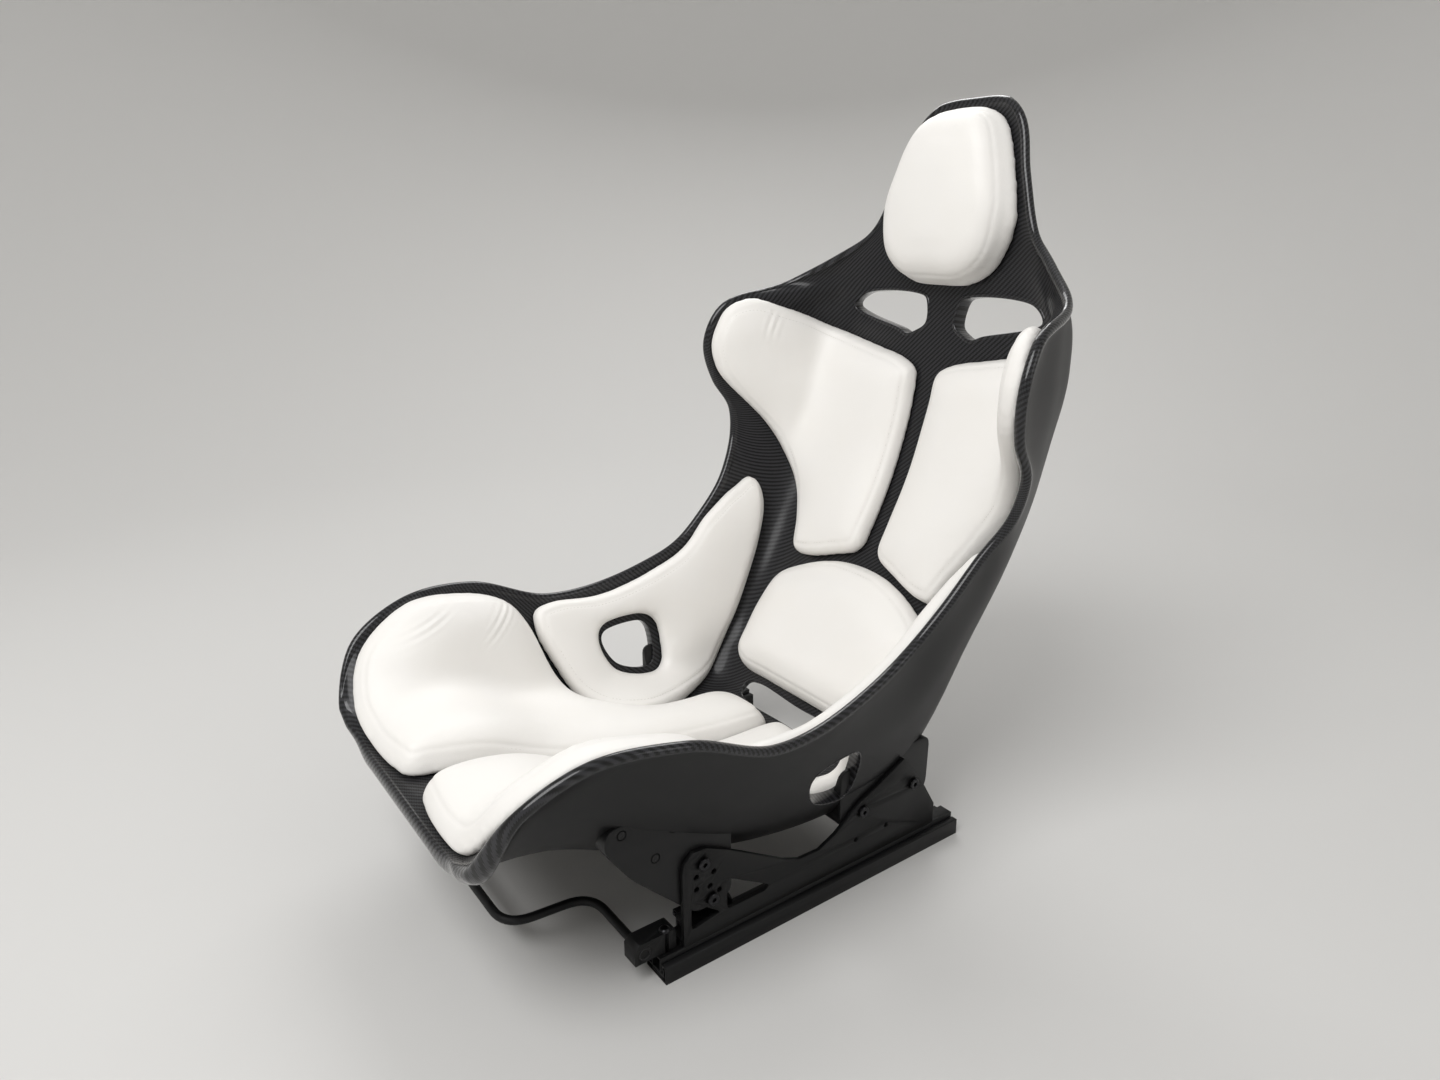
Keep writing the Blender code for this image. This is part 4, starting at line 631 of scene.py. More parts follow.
def shell_grid(sizes):
    """Stations and parts of the fine shell: close rows at the lip, the step and the head's top, and
    close columns at the rim; the lip's middle rows are set back from its corners."""
    corner = RIM_BEAD + RIM_CORNER * (1 - np.cos(np.linspace(0.0, math.pi / 2, LIP_ROWS)))
    step = np.linspace(BACK_STEP, BACK_STEP + BACK_STEP_LENGTH, STEP_ROWS)
    close = np.concatenate((corner, step, SHELL_LENGTH - corner))
    rows = np.linspace(corner[-1], SHELL_LENGTH - corner[-1], sizes.rows)
    rows = rows[np.abs(rows[:, None] - close[None]).min(axis=1) > ROW_GAP]
    rows = np.unique(np.concatenate((rows, close)).round(6))
    half = np.concatenate((np.linspace(0.0, SIDE_START, PAN_COLUMNS), np.linspace(SIDE_START, 1.0, SIDE_COLUMNS)[1:]))
    stations, parts = np.meshgrid(rows, np.concatenate((-half[:0:-1], half)), indexing="ij")
    set_back = (1 - smooth_step(stations, 0.0, LIP_LENGTH)) * (1 - smooth_step(np.abs(parts), *LIP_BLEND))
    return stations + LIP_SETBACK * set_back, parts


def rim_distance(stations, parts):
    """Distance from the edge of the inner face, along or across the seat, whichever is less."""
    return np.minimum(edge_at(stations) * (1 - np.abs(parts)), np.minimum(stations, SHELL_LENGTH - stations) - RIM_BEAD)


def shell_piece(sizes, finishes):
    """The shell: inner and outer surfaces a wall apart, joined round the rim by half an ellipse
    that lies in the plane square to the rim."""
    stations, parts = shell_grid(sizes)
    girths = parts * edge_at(stations)
    wall = shell_wall(stations, np.abs(parts), sizes)
    rim = rim_distance(stations, parts)
    rise = sizes.rim_rise * (1 - smooth_step(rim, RISE_START * sizes.rim_band, sizes.rim_band))
    inner = on_shell(stations, girths, rise)
    outer = on_shell(stations, girths, -wall)
    rows, columns = parts.shape
    index = np.arange(rows * columns).reshape(rows, columns)
    edge = np.concatenate((index[0], index[1:, -1], index[-1, -2::-1], index[-2:0:-1, 0]))
    flat_inner, flat_outer = inner.reshape(-1, 3), outer.reshape(-1, 3)
    low, high = flat_inner[edge], flat_outer[edge]
    out = unit(np.cross(np.roll(low, -1, axis=0) - np.roll(low, 1, axis=0), low - high))
    for _ in range(BEAD_PASSES):
        out = unit(np.roll(out, 1, axis=0) + 2 * out + np.roll(out, -1, axis=0))
    uv = np.stack((girths, stations), axis=-1).reshape(-1, 2)
    out_uv = unit(np.stack((np.sign(girths) * (np.abs(parts) > 0.999), np.sign(stations - SHELL_LENGTH / 2)
                            * (np.abs(parts) <= 0.999)), axis=-1).reshape(-1, 2)[edge])
    points, coordinates = [flat_inner, flat_outer], [uv, uv]
    angles = np.linspace(0.0, math.pi, BEAD_STEPS)[1:-1]
    for angle in angles:
        lean = (1 - math.cos(angle)) / 2
        points.append(low * (1 - lean) + high * lean + out * RIM_BEAD * math.sin(angle))
        coordinates.append(uv[edge] + out_uv * RIM_BEAD * 2 * lean)
    base = rows * columns
    inside = grid_faces(index)
    rings = [edge] + [2 * base + number * len(edge) + np.arange(len(edge)) for number in range(len(angles))]
    faces = inside.tolist() + (inside[:, ::-1] + base).tolist() + ring_faces(rings + [edge + base])
    kinds = np.full(len(faces), FINISH_RIM)
    kinds[:len(inside)] = np.where(rim.ravel()[inside].mean(axis=1) < sizes.rim_band, FINISH_RIM, FINISH_INSIDE)
    kinds[len(inside):2 * len(inside)] = FINISH_OUTSIDE
    return new_mesh("shell", np.vstack(points), faces, finishes, np.vstack(coordinates), kinds=kinds)


def plug(name, outline, heights, count=96):
    """A cutter whose sides follow an outline on the shell between two heights."""
    outline = closed_curve(outline, count)
    centre = outline.mean(axis=0)
    layers = [on_shell(outline[:, 0], outline[:, 1], height) for height in heights]
    ends = [on_shell(centre[0], centre[1], height).reshape(1, 3) for height in heights]
    ring = np.arange(count)
    faces = ring_faces([ring, ring + count])
    faces += fan_faces(ring, 2 * count) + fan_faces(ring + count, 2 * count + 1)
    return new_mesh(name, np.vstack((*layers, *ends)), faces, None)


# Section of a lip in millimetres: out from the opening's edge, and up from the shell's face
LIP_BEAD = ((5.5, -0.4), (4.6, 0.7), (3.2, 1.5), (1.8, 1.8), (0.5, 1.5), (-0.5, 0.6), (-0.9, -0.6))


def opening_lip(name, outline, sizes, material, scale, count=160):
    """A rounded edge carried round an opening: a bead above the inner face, the wall's face, and a
    bead below the outer face, closed inside the wall."""
    line = closed_curve(outline, count)
    wall = shell_wall(line[:, 0], np.abs(line[:, 1]) / edge_at(line[:, 0]), sizes)
    bead = scale * MM * np.array(LIP_BEAD)
    steps = [(out, up, 0.0) for out, up in bead] + [(out, -up, 1.0) for out, up in bead[::-1]]
    points, coordinates = [], []
    for out, up, share in steps:
        ring = inset(line, -out)
        points.append(on_shell(ring[:, 0], ring[:, 1], up - share * wall))
        coordinates.append(np.stack((ring[:, 1], ring[:, 0]), axis=1))
    rings = list(np.arange(len(steps) * count).reshape(len(steps), count))
    return new_mesh(name, np.vstack(points), ring_faces(rings + rings[:1]), material, np.vstack(coordinates))


def wall_core(name, low_station, high_station, height):
    """The room inside the shell between two stations, out to a height off its inner surface."""
    stations, parts = np.meshgrid(np.linspace(low_station, high_station, 24), np.linspace(-1.0, 1.0, 49),
                                  indexing="ij")
    surface = on_shell(stations, parts * girth_at(stations), height)
    rows, columns = parts.shape
    centre = surface.mean(axis=1)
    centre[:, 2] = surface[:, 0, 2]
    index = np.arange(rows * columns).reshape(rows, columns)
    hub = rows * columns + np.arange(rows)
    faces = grid_faces(index).tolist()
    for edge in (index[:, 0], index[:, -1]):
        faces += np.stack((edge[:-1], edge[1:], hub[1:], hub[:-1]), axis=-1).tolist()
    for row in (0, rows - 1):
        faces += fan_faces(index[row], hub[row])[:-1]
    return new_mesh(name, np.vstack((surface.reshape(-1, 3), centre)), faces, None)


def boss_piece(name, outline, stations, sign, face, material):
    """A moulded boss: a rounded outline given depth, less the room inside the seat."""
    low, high = sorted((sign * (face - BOSS_DEPTH), sign * face))
    boss = plate(name, rounded(outline, BOSS_CORNER), low, high, material, BOSS_EDGE)
    cut_out(boss, [wall_core(f"{name}_core", *stations, -BOSS_INSET)])
    return by_angle(boss, 40.0)


# ---------------------------------------------------------------- pads
def crown(distance, seam, height, reach):
    """Height at a distance in from the seam: a circle's quarter up to the full height."""
    part = np.clip(distance / reach, 0.0, 1.0)
    return seam + (height - seam) * np.sqrt(1 - (1 - part) ** 2)


def hole_ring(hole, outline):
    """The hole's points in the directions of the outline's points, seen from the hole's middle."""
    fine = closed_curve(hole, 600)
    centre = fine.mean(axis=0)
    angle = np.arctan2(*(fine - centre).T[::-1])
    order = np.argsort(angle)
    wanted = np.arctan2(*(outline - centre).T[::-1])
    reach = np.interp(wanted, angle[order], np.linalg.norm(fine - centre, axis=1)[order], period=2 * math.pi)
    return centre + np.stack((np.cos(wanted), np.sin(wanted)), axis=1) * reach[:, None]


# Points of a pad's outline, its rings over the top, which crowd towards the seam by a power, and
# the places of those under it
PAD_COUNT = 150
PAD_RINGS = 16
PAD_LAST = 0.93
PAD_POWER = 1.3
PAD_UNDER = (0.08, 0.2, 0.35, 0.5, 0.65, 0.8, 0.92)
# Heights of a pad's foot, edge and seam, how far the seam is drawn in, and the gap round the pad
PAD_FOOT = 0.0006
PAD_EDGE = 0.011
PAD_SEAM = 0.019
PAD_DRAW = 0.004
PAD_GAP = 0.0025
# The cover's simulation: fixed below the first height and free above the second
LOOSE_BAND = (0.004, 0.012)
PIN_LEVELS = 10
COVER = {"use_pressure": True, "quality": 4, "mass": 0.3, "tension_stiffness": 15.0, "compression_stiffness": 8.0,
         "shear_stiffness": 5.0, "bending_stiffness": 0.5, "pin_stiffness": 1.0}
COVER_FRAMES = 20
EVEN_PASSES = 30
SKIN_PASSES = 2
# Seam: points that find it, their pitch, its width, and the rows of stitches on each side of it
SEAM_STEPS = 400
SEAM_STEP = 0.003
SEAM_WIDTH = 0.0024
SEAM_ROW = 0.0022
THREAD = 0.00042
THREAD_SHARE = 0.68
FOLD_PITCH = 0.011
FOLD_BEND = 4.0


def pad_piece(name, drawn, height, reach, material, centre=None, hole=None):
    """A closed cushion from rings of one outline: foot, side, seam, then rings at shares of the way
    to the middle, or to the hole, whose heights follow the crown."""
    edge = inset(closed_curve(drawn, PAD_COUNT), PAD_GAP)
    seam = inset(edge, PAD_DRAW)
    layers = [(inset(edge, 0.6 * PAD_DRAW), PAD_FOOT), (inset(edge, 0.2 * PAD_DRAW), 0.4 * PAD_EDGE),
              (edge, PAD_EDGE), (inset(edge, 0.3 * PAD_DRAW), 0.6 * PAD_EDGE + 0.4 * PAD_SEAM), (seam, PAD_SEAM)]
    if hole is None:
        inner = np.repeat(np.array(centre)[None], PAD_COUNT, axis=0)
        shares = 1 - np.linspace(0.0, PAD_LAST, PAD_RINGS)[1:] ** PAD_POWER
    else:
        inner = inset(hole_ring(hole, edge), -PAD_GAP)
        shares = 1 - np.linspace(0.0, 1.0, PAD_RINGS)[1:-1]
    for share in shares:
        ring = inner + (seam - inner) * share
        gap = distance_to(ring, seam)
        if hole is not None:
            gap = np.minimum(gap, distance_to(ring, inner))
        layers.append((ring, crown(gap, PAD_SEAM, height, reach)))
    if hole is not None:
        layers += [(inset(inner, -PAD_DRAW), PAD_SEAM), (inner, PAD_EDGE), (inset(inner, -0.6 * PAD_DRAW), PAD_FOOT)]
    under = [layers[0][0] + (inner - layers[0][0]) * share for share in PAD_UNDER]
    points = [on_shell(ring[:, 0], ring[:, 1], np.broadcast_to(heights, PAD_COUNT)) for ring, heights in layers]
    points += [on_shell(ring[:, 0], ring[:, 1], PAD_FOOT) for ring in under[::-1]]
    rings = [np.arange(PAD_COUNT) + number * PAD_COUNT for number in range(len(points))]
    if hole is None:
        tops, lowers = rings[:len(layers)], rings[len(layers):]
        dome = crown(distance_to(inner[:1], seam), PAD_SEAM, height, reach)
        points += [on_shell(*centre, dome).reshape(1, 3), on_shell(*centre, PAD_FOOT).reshape(1, 3)]
        hub = len(rings) * PAD_COUNT
        faces = ring_faces(lowers + tops) + fan_faces(tops[-1], hub) + fan_faces(lowers[0], hub + 1)
    else:
        faces = ring_faces(rings + rings[:1])
    return new_mesh(name, np.vstack(points), faces, material)


def vertices_of(mesh):
    """A mesh's vertices as an array."""
    points = np.empty(len(mesh.vertices) * 3, np.float32)
    mesh.vertices.foreach_get("co", points)
    return points.reshape(-1, 3).astype(float)


def height_over_shell(points, block=2048):
    """Distance of points from the inner surface, along the normal of its nearest table entry."""
    step = 4
    table = TABLE_POINTS[::step, ::2].reshape(-1, 3)
    normals = TABLE_NORMALS[::step, ::2].reshape(-1, 3)
    folded = np.abs(points) * np.where(np.arange(3) == 0, 1.0, np.sign(points))
    found = []
    for first in range(0, len(folded), block):
        part = folded[first:first + block]
        square = np.sum(part ** 2, axis=1)[:, None] - 2 * part @ table.T + np.sum(table ** 2, axis=1)[None]
        nearest = square.argmin(axis=1)
        found.append(np.sum((part - table[nearest]) * normals[nearest], axis=1))
    return np.concatenate(found)


def evened(mesh, values, passes):
    """Values of the vertices, each replaced by the mean of its own and its neighbours', in passes."""
    edges = np.empty(len(mesh.edges) * 2, np.int32)
    mesh.edges.foreach_get("vertices", edges)
    start, end = edges.reshape(-1, 2).T
    count = 1.0 + np.bincount(edges, minlength=len(values))
    for _ in range(passes):
        total = [np.bincount(start, values[end, axis], len(values)) + np.bincount(end, values[start, axis], len(values))
                 for axis in range(3)]
        values = (values + np.stack(total, axis=1)) / count[:, None]
    return values


def puff(item, sizes):
    """Voxel remesh, then cloth under pressure with its foot pinned, its motion evened and capped,
    then one subdivision."""
    remesh = item.modifiers.new("voxels", "REMESH")
    remesh.mode = "VOXEL"
    remesh.voxel_size = sizes.voxel
    remesh.use_smooth_shade = True
    apply_modifiers(item)
    before = vertices_of(item.data)
    height = height_over_shell(before)
    loose = smooth_step(height, *LOOSE_BAND)
    group = item.vertex_groups.new(name="foot")
    levels = np.round((1 - loose) * PIN_LEVELS).astype(int)
    for level in range(1, PIN_LEVELS + 1):
        group.add(np.nonzero(levels == level)[0].tolist(), level / PIN_LEVELS, "REPLACE")
    cloth = item.modifiers.new("cover", "CLOTH")
    settings = cloth.settings
    for name, value in COVER.items():
        setattr(settings, name, value)
    settings.uniform_pressure_force = sizes.pressure
    settings.effector_weights.gravity = 0.0
    settings.vertex_group_mass = group.name
    scene = bpy.context.scene
    for number in range(1, COVER_FRAMES + 1):
        scene.frame_set(number)
    apply_modifiers(item)
    item.vertex_groups.clear()
    scene.frame_set(1)
    move = vertices_of(item.data) - before
    length = np.maximum(np.linalg.norm(move, axis=1, keepdims=True), 1e-9)
    move = evened(item.data, move * np.minimum(1.0, sizes.swell / length), EVEN_PASSES)
    after = evened(item.data, before, SKIN_PASSES) * loose[:, None] + before * (1 - loose[:, None])
    after += move * loose[:, None]
    item.data.vertices.foreach_set("co", after.astype(np.float32).ravel())
    item.data.update()
    subdivide = item.modifiers.new("smooth", "SUBSURF")
    subdivide.levels = 1
    subdivide.render_levels = 1
    return apply_modifiers(item)


def normals_of(mesh):
    """The normals of a mesh's vertices as an array."""
    normals = np.empty(len(mesh.vertices) * 3, np.float32)
    mesh.vertex_normals.foreach_get("vector", normals)
    return normals.reshape(-1, 3).astype(float)


def read_top(item, base, up, reach=0.004, block=24):
    """The cushion's top over points of the shell, with its normals: means of the vertices round
    each line along up, weighted by a Gaussian of their distance from the line."""
    points, normals = vertices_of(item.data), normals_of(item.data)
    tops, facings = [], []
    for first in range(0, len(base), block):
        start, line = base[first:first + block, None], up[first:first + block, None]
        part = points[None] - start
        height = np.sum(part * line, axis=2)
        off = np.sum(part ** 2, axis=2) - height ** 2
        weight = np.exp(-off / (2 * reach ** 2)) * (normals @ line[:, 0].T > 0.1).T
        total = weight.sum(axis=1, keepdims=True) + 1e-12
        tops.append(start[:, 0] + line[:, 0] * np.sum(weight * height, axis=1, keepdims=True) / total)
        facings.append(weight @ normals / total)
    return np.vstack(tops), unit(np.vstack(facings))


def move_along(item, distances):
    """Moves an object's vertices along their normals."""
    points = vertices_of(item.data) + distances[:, None] * normals_of(item.data)
    item.data.vertices.foreach_set("co", points.astype(np.float32).ravel())
    item.data.update()


def seam_line(item, drawn, distance, pitch):
    """Points of the cushion's top at even steps along its outline drawn in by a distance, with the
    normals there."""
    outline = inset(closed_curve(drawn, SEAM_STEPS), PAD_GAP + distance)
    outline = np.vstack((outline, outline[:1]))
    along = lengths_along(on_shell(outline[:, 0], outline[:, 1]))
    even = np.arange(0.0, along[-1] - 0.5 * pitch, pitch)
    station, girth = (np.interp(even, along, outline[:, axis]) for axis in range(2))
    base = on_shell(station, girth)
    return read_top(item, base, unit(on_shell(station, girth, PAD_SEAM) - base))


def press_seam(item, line, depth):
    """Sinks a cushion along a seam: each vertex moves in by a Gaussian of its distance to the line."""
    distance = distance_to(vertices_of(item.data), line, 1024)
    move_along(item, -depth * np.exp(-distance ** 2 / (2 * SEAM_WIDTH ** 2)))


# Capsule of a stitch: places of its rings along the thread, in lengths, and their radii
STITCH_RINGS = ((-0.36, 0.75), (-0.18, 1.0), (0.18, 1.0), (0.36, 0.75))
STITCH_SIDES = 6


def stitches(name, rows, length, material):
    """Sewing thread where it shows: one capsule of six sides for each stitch, laid along its row."""
    share, girth = np.array(STITCH_RINGS).T[..., None]
    angle = np.arange(STITCH_SIDES) * 2 * math.pi / STITCH_SIDES
    ring = np.stack(np.broadcast_arrays(share, girth * np.cos(angle), girth * np.sin(angle)), axis=-1)
    shape = np.vstack((ring.reshape(-1, 3), ((-0.5, 0.0, 0.0), (0.5, 0.0, 0.0)))) * (length, THREAD, THREAD)
    rings = np.arange(len(shape) - 2).reshape(-1, STITCH_SIDES)
    quads = np.array(ring_faces(list(rings)))
    caps = np.array(fan_faces(rings[0], len(shape) - 2) + fan_faces(rings[-1], len(shape) - 1))
    placed = []
    for points, normals in rows:
        ahead = unit(np.roll(points, -1, axis=0) - np.roll(points, 1, axis=0))
        side = unit(np.cross(normals, ahead))
        frames = np.stack((ahead, side, np.cross(ahead, side)), axis=1)
        placed.append(points[:, None] + shape @ frames)
    placed = np.vstack(placed)
    shift = (np.arange(len(placed)) * len(shape))[:, None, None]
    faces = (quads[None] + shift).reshape(-1, 4).tolist() + (caps[None] + shift).reshape(-1, 3).tolist()
    return new_mesh(name, placed.reshape(-1, 3), faces, material)


def fold_cover(item, station, girth, turn, size, height):
    """Slack in the cover: cosine ridges about one place of the shell, turned across it and fading
    with a Gaussian along and across them."""
    step = 0.004
    centre = on_shell(station, girth)
    along = unit(on_shell(station + step, girth) - on_shell(station - step, girth))
    across = unit(on_shell(station, girth + step) - on_shell(station, girth - step))
    part = vertices_of(item.data) - centre
    u = part @ (along * math.cos(turn) + across * math.sin(turn))
    v = part @ (across * math.cos(turn) - along * math.sin(turn))
    facing = np.clip(normals_of(item.data) @ unit(on_shell(station, girth, PAD_SEAM) - centre), 0.0, 1.0)
    ridge = np.cos(2 * math.pi * (u + FOLD_BEND * v ** 2) / FOLD_PITCH)
    move_along(item, height * ridge * np.exp(-(u / size[0]) ** 2 - (v / size[1]) ** 2) * facing)


# (piece, station, girth, turn in radians, reach across and along) of the folds in the covers
FOLDS = (
    ("shoulder_cushion_right", 1.146, -0.302, -1.10, (0.012, 0.017)),
    ("thigh_cushion_right", 0.225, -0.300, 0.60, (0.014, 0.034)),
    ("thigh_cushion_right", 0.110, -0.262, 1.10, (0.012, 0.026)),
    ("thigh_cushion_left", 0.120, 0.275, 0.90, (0.012, 0.030)),
)

# (setting, outline, reach of the crown, middle, hole, nodes) of the pads
PADS = (
    ("head", HEAD_PAD, 0.034, (1.315, 0.0), None, ("head_pad",)),
    ("lumbar", LUMBAR_PAD, 0.045, (0.690, 0.0), None, ("lumbar_pad",)),
    ("shoulder", SHOULDER_PAD, 0.045, (0.990, 0.170), None, ("shoulder_pad_left", "shoulder_pad_right")),
    ("hip", HIP_PAD, 0.045, None, HIP_PAD_HOLE, ("hip_pad_left", "hip_pad_right")),
    ("thigh", THIGH_PAD, 0.045, (0.255, 0.120), None, ("thigh_pad_left", "thigh_pad_right")),
)


def mirror_copy(item, name):
    """A copy of a piece reflected to the other side, its faces turned back outwards."""
    mesh = item.data.copy()
    mesh.transform(Matrix.Scale(-1.0, 4, (1.0, 0.0, 0.0)))
    mesh.flip_normals()
    return add_object(name, mesh)


# ---------------------------------------------------------------- hardware
# Merging distance and turn in degrees below which a modelled piece's faces are joined, and the
# most that an edge is rounded, as a share of the piece's least size
JOIN_DISTANCE = 1e-5
JOIN_ANGLE = 0.5
EDGE_SHARE = 0.2
# Socket flat, shank and chamfer of a mount bolt as shares of its radius, depth of the socket as a
# share of the head, and width and depth of the socket's chamfer as shares of the head's
BOLT_SHARES = (0.36, 0.56, 0.14)
SOCKET_DEPTH = 0.55
SOCKET_CHAMFER = (0.4, 0.2)
# Bore of a thread insert as a share of its radius, and the chamfers of its bore and edge
INSERT_BORE = 0.645
BORE_CHAMFER = 0.0006
INSERT_CHAMFER = 0.0004


def rounded_copy(node, width, material):
    """A copy of a modelled piece with its flat faces joined up and its edges rounded."""
    mesh = frame["nodes"][node].data.copy()
    solid = bmesh.new()
    solid.from_mesh(mesh)
    bmesh.ops.remove_doubles(solid, verts=solid.verts, dist=JOIN_DISTANCE)
    bmesh.ops.dissolve_limit(solid, angle_limit=math.radians(JOIN_ANGLE), verts=solid.verts, edges=solid.edges)
    solid.to_mesh(mesh)
    solid.free()
    mesh.materials.clear()
    mesh.materials.append(material)
    item = add_object(f"{node}_finished", mesh)
    low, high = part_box(node)
    return by_angle(soften(item, min(width, EDGE_SHARE * min(high - low))), 40.0)


def outer_end(node):
    """A round piece along X: the middle of its outer end, its way out, its length and its radius."""
    low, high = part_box(node)
    sign = math.copysign(1.0, low.x + high.x)
    place = (high.x if sign > 0 else low.x, (low.y + high.y) / 2, (low.z + high.z) / 2)
    return place, (sign, 0, 0), high.x - low.x, (high.y - low.y) / 2


def mount_bolt(node, sizes, material):
    """A socket head bolt along X: a chamfered head with a hexagonal socket, and a plain shank."""
    place, out, length, radius = outer_end(node)
    head, socket, shank, chamfer = sizes.bolt_head, *(share * radius for share in BOLT_SHARES)
    wider, deeper = (share * chamfer for share in SOCKET_CHAMFER)
    radii = (socket, socket, socket + wider, radius - chamfer, radius, radius, shank, shank)
    lengths = (-SOCKET_DEPTH * head, -deeper, 0.0, 0.0, -chamfer, -head, -head, -length)
    return revolve(f"{node}_finished", radii, lengths, place, out, material, hexes=(0, 1))


def thread_insert(node, material):
    """A round insert along X with a chamfered bore."""
    place, out, length, radius = outer_end(node)
    bore = INSERT_BORE * radius
    radii = (bore, bore + BORE_CHAMFER, radius - INSERT_CHAMFER, radius, radius, bore)
    lengths = (-BORE_CHAMFER, 0.0, 0.0, -INSERT_CHAMFER, -length, -length)
    return revolve(f"{node}_finished", radii, lengths, place, out, material, closed=True)


def release_bar(node, sizes, material):
    """A bent round bar: two stubs on the pivots' line, two arms forward and the bar across them."""
    low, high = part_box(node)
    radius = sizes.handle
    stub, pivot = (high.y - radius, low.z + radius)
    front, top = (low.y + radius, high.z - radius)
    half = [(sizes.handle_arm, front, top), (sizes.handle_arm, stub, pivot), (high.x, stub, pivot)]
    route = [(-x, y, z) for x, y, z in half[::-1]] + half
    return tube(f"{node}_finished", smooth_route(route, sizes.handle_bend), radius, material)


# ---------------------------------------------------------------- materials
def add_node(material, kind, inputs=(), **settings):
    """Adds a node with its settings and the values or links of its inputs, and gives its outputs."""
    node = material.node_tree.nodes.new(f"ShaderNode{kind}")
    for name, value in settings.items():
        setattr(node, name, value)
    for name, value in inputs.items() if isinstance(inputs, dict) else enumerate(inputs):
        if isinstance(value, bpy.types.NodeSocket):
            material.node_tree.links.new(value, node.inputs[name])
        else:
            node.inputs[name].default_value = value
    return node.outputs


def start_material(name, **sockets):
    """A material whose principled shader has the given plain socket values, and its node adder."""
    material = bpy.data.materials.new(name)
    material.use_nodes = True
    shader = material.node_tree.nodes["Principled BSDF"]
    for socket, value in sockets.items():
        shader.inputs[socket.replace("_", " ")].default_value = value
    return material, partial(add_node, material)


def drive(material, **sources):
    """Links outputs to the sockets of a material's principled shader."""
    shader = material.node_tree.nodes["Principled BSDF"]
    for socket, source in sources.items():
        material.node_tree.links.new(source, shader.inputs[socket.replace("_", " ")])
    return material


def tinted(hex_colour, share, lift=0.0):
    """A colour's linear value times a share, plus a lift."""
    return tuple(channel * share + lift for channel in linear(hex_colour)[:3]) + (1.0,)


def carbon_twill(colours, tow, name, coat, coat_roughness, base_roughness):
    """Carbon fibre in 2 by 2 twill under clear resin: each tow passes over two and under two, so the overs line up in
    diagonal ribs that catch the light as one; that light is painted highlight, the tows on top painted lighter and
    those under them painted darker, and the resin gives the gloss."""
    material, node = start_material(name, Metallic=0.0, IOR=1.5, Specular_IOR_Level=0.15, Coat_Weight=coat,
                                    Coat_Roughness=coat_roughness, Coat_IOR=1.4)
    place = node("UVMap", uv_map="surface")["UV"]
    parts = node("SeparateXYZ", (place,))
    across, along = (node("Math", (parts[axis], tow), operation="DIVIDE")[0] for axis in "XY")
    column, row = (node("Math", (tows,), operation="FLOOR")[0] for tows in (across, along))
    diagonal = node("Math", (column, row), operation="SUBTRACT")[0]
    step = node("Math", (diagonal, 4.0), operation="FLOORED_MODULO")[0]
    warp_over = node("Math", (step, 2.0), operation="LESS_THAN")[0]
    across_tow, along_tow = (node("Math", (tows, 0.5), operation="PINGPONG")[0] for tows in (across, along))
    tow_crown = node("Mix", {"Factor": warp_over, "A": along_tow, "B": across_tow}, data_type="FLOAT")[0]
    streak = node("TexNoise", {"Vector": place, "Scale": 1.0 / (3 * tow), "Detail": 3.0})["Fac"]
    # Painted highlight and shade: the mix below paints the tows on top in the lit colour and those under them in the
    # darker one, standing in for the light that the fibres reflect along their length.
    ribs = node("Math", (warp_over, 0.8), operation="MULTIPLY")[0]
    shade = node("Math", (streak, 0.2, ribs), operation="MULTIPLY_ADD")[0]
    colour = node("Mix", {"Factor": shade, "A": linear(colours.carbon_painted_shade), "B": linear(colours.carbon)},
                  data_type="RGBA")["Result"]
    roughness = node("Math", (warp_over, -0.12, base_roughness), operation="MULTIPLY_ADD")[0]
    bump = node("Bump", {"Height": tow_crown, "Strength": 0.35, "Distance": 0.4 * MM})["Normal"]
    return drive(material, Base_Color=colour, Roughness=roughness, Normal=bump)


def smooth_leather(colours):
    """Corrected-grain cowhide, pigmented white: pores about 1.3 mm apart under a satin pigment
    coat, with soft handling marks where the roughness drifts."""
    material, node = start_material("white_leather", Metallic=0.0, IOR=1.5, Sheen_Weight=0.05)
    place = node("TexCoord")["Object"]
    cells = node("TexVoronoi", {"Vector": place, "Scale": 1 / (1.3 * MM), "Randomness": 1.0},
                 feature="DISTANCE_TO_EDGE")["Distance"]
    drift = node("TexNoise", {"Vector": place, "Scale": 1 / (60 * MM), "Detail": 4.0})["Fac"]
    folds = node("TexNoise", {"Vector": place, "Scale": 1 / (9 * MM), "Detail": 5.0, "Roughness": 0.6})["Fac"]
    base = linear(colours.leather)
    warm = tuple(channel * shade for channel, shade in zip(base[:3], (0.97, 0.955, 0.92))) + (1.0,)
    share = node("Math", (drift, 0.5), operation="MULTIPLY")[0]
    tint = node("Mix", {"Factor": share, "A": base, "B": warm}, data_type="RGBA")["Result"]
    roughness = node("Math", (drift, 0.16, 0.40), operation="MULTIPLY_ADD")[0]
    pores = node("Math", (cells, 0.12), operation="MINIMUM")[0]
    pores = node("Math", (pores, 8.0), operation="MULTIPLY")[0]
    relief = node("Math", (folds, 1.2, pores), operation="MULTIPLY_ADD")[0]
    bump = node("Bump", {"Height": relief, "Strength": 0.25, "Distance": 0.3 * MM})["Normal"]
    return drive(material, Base_Color=tint, Roughness=roughness, Normal=bump)


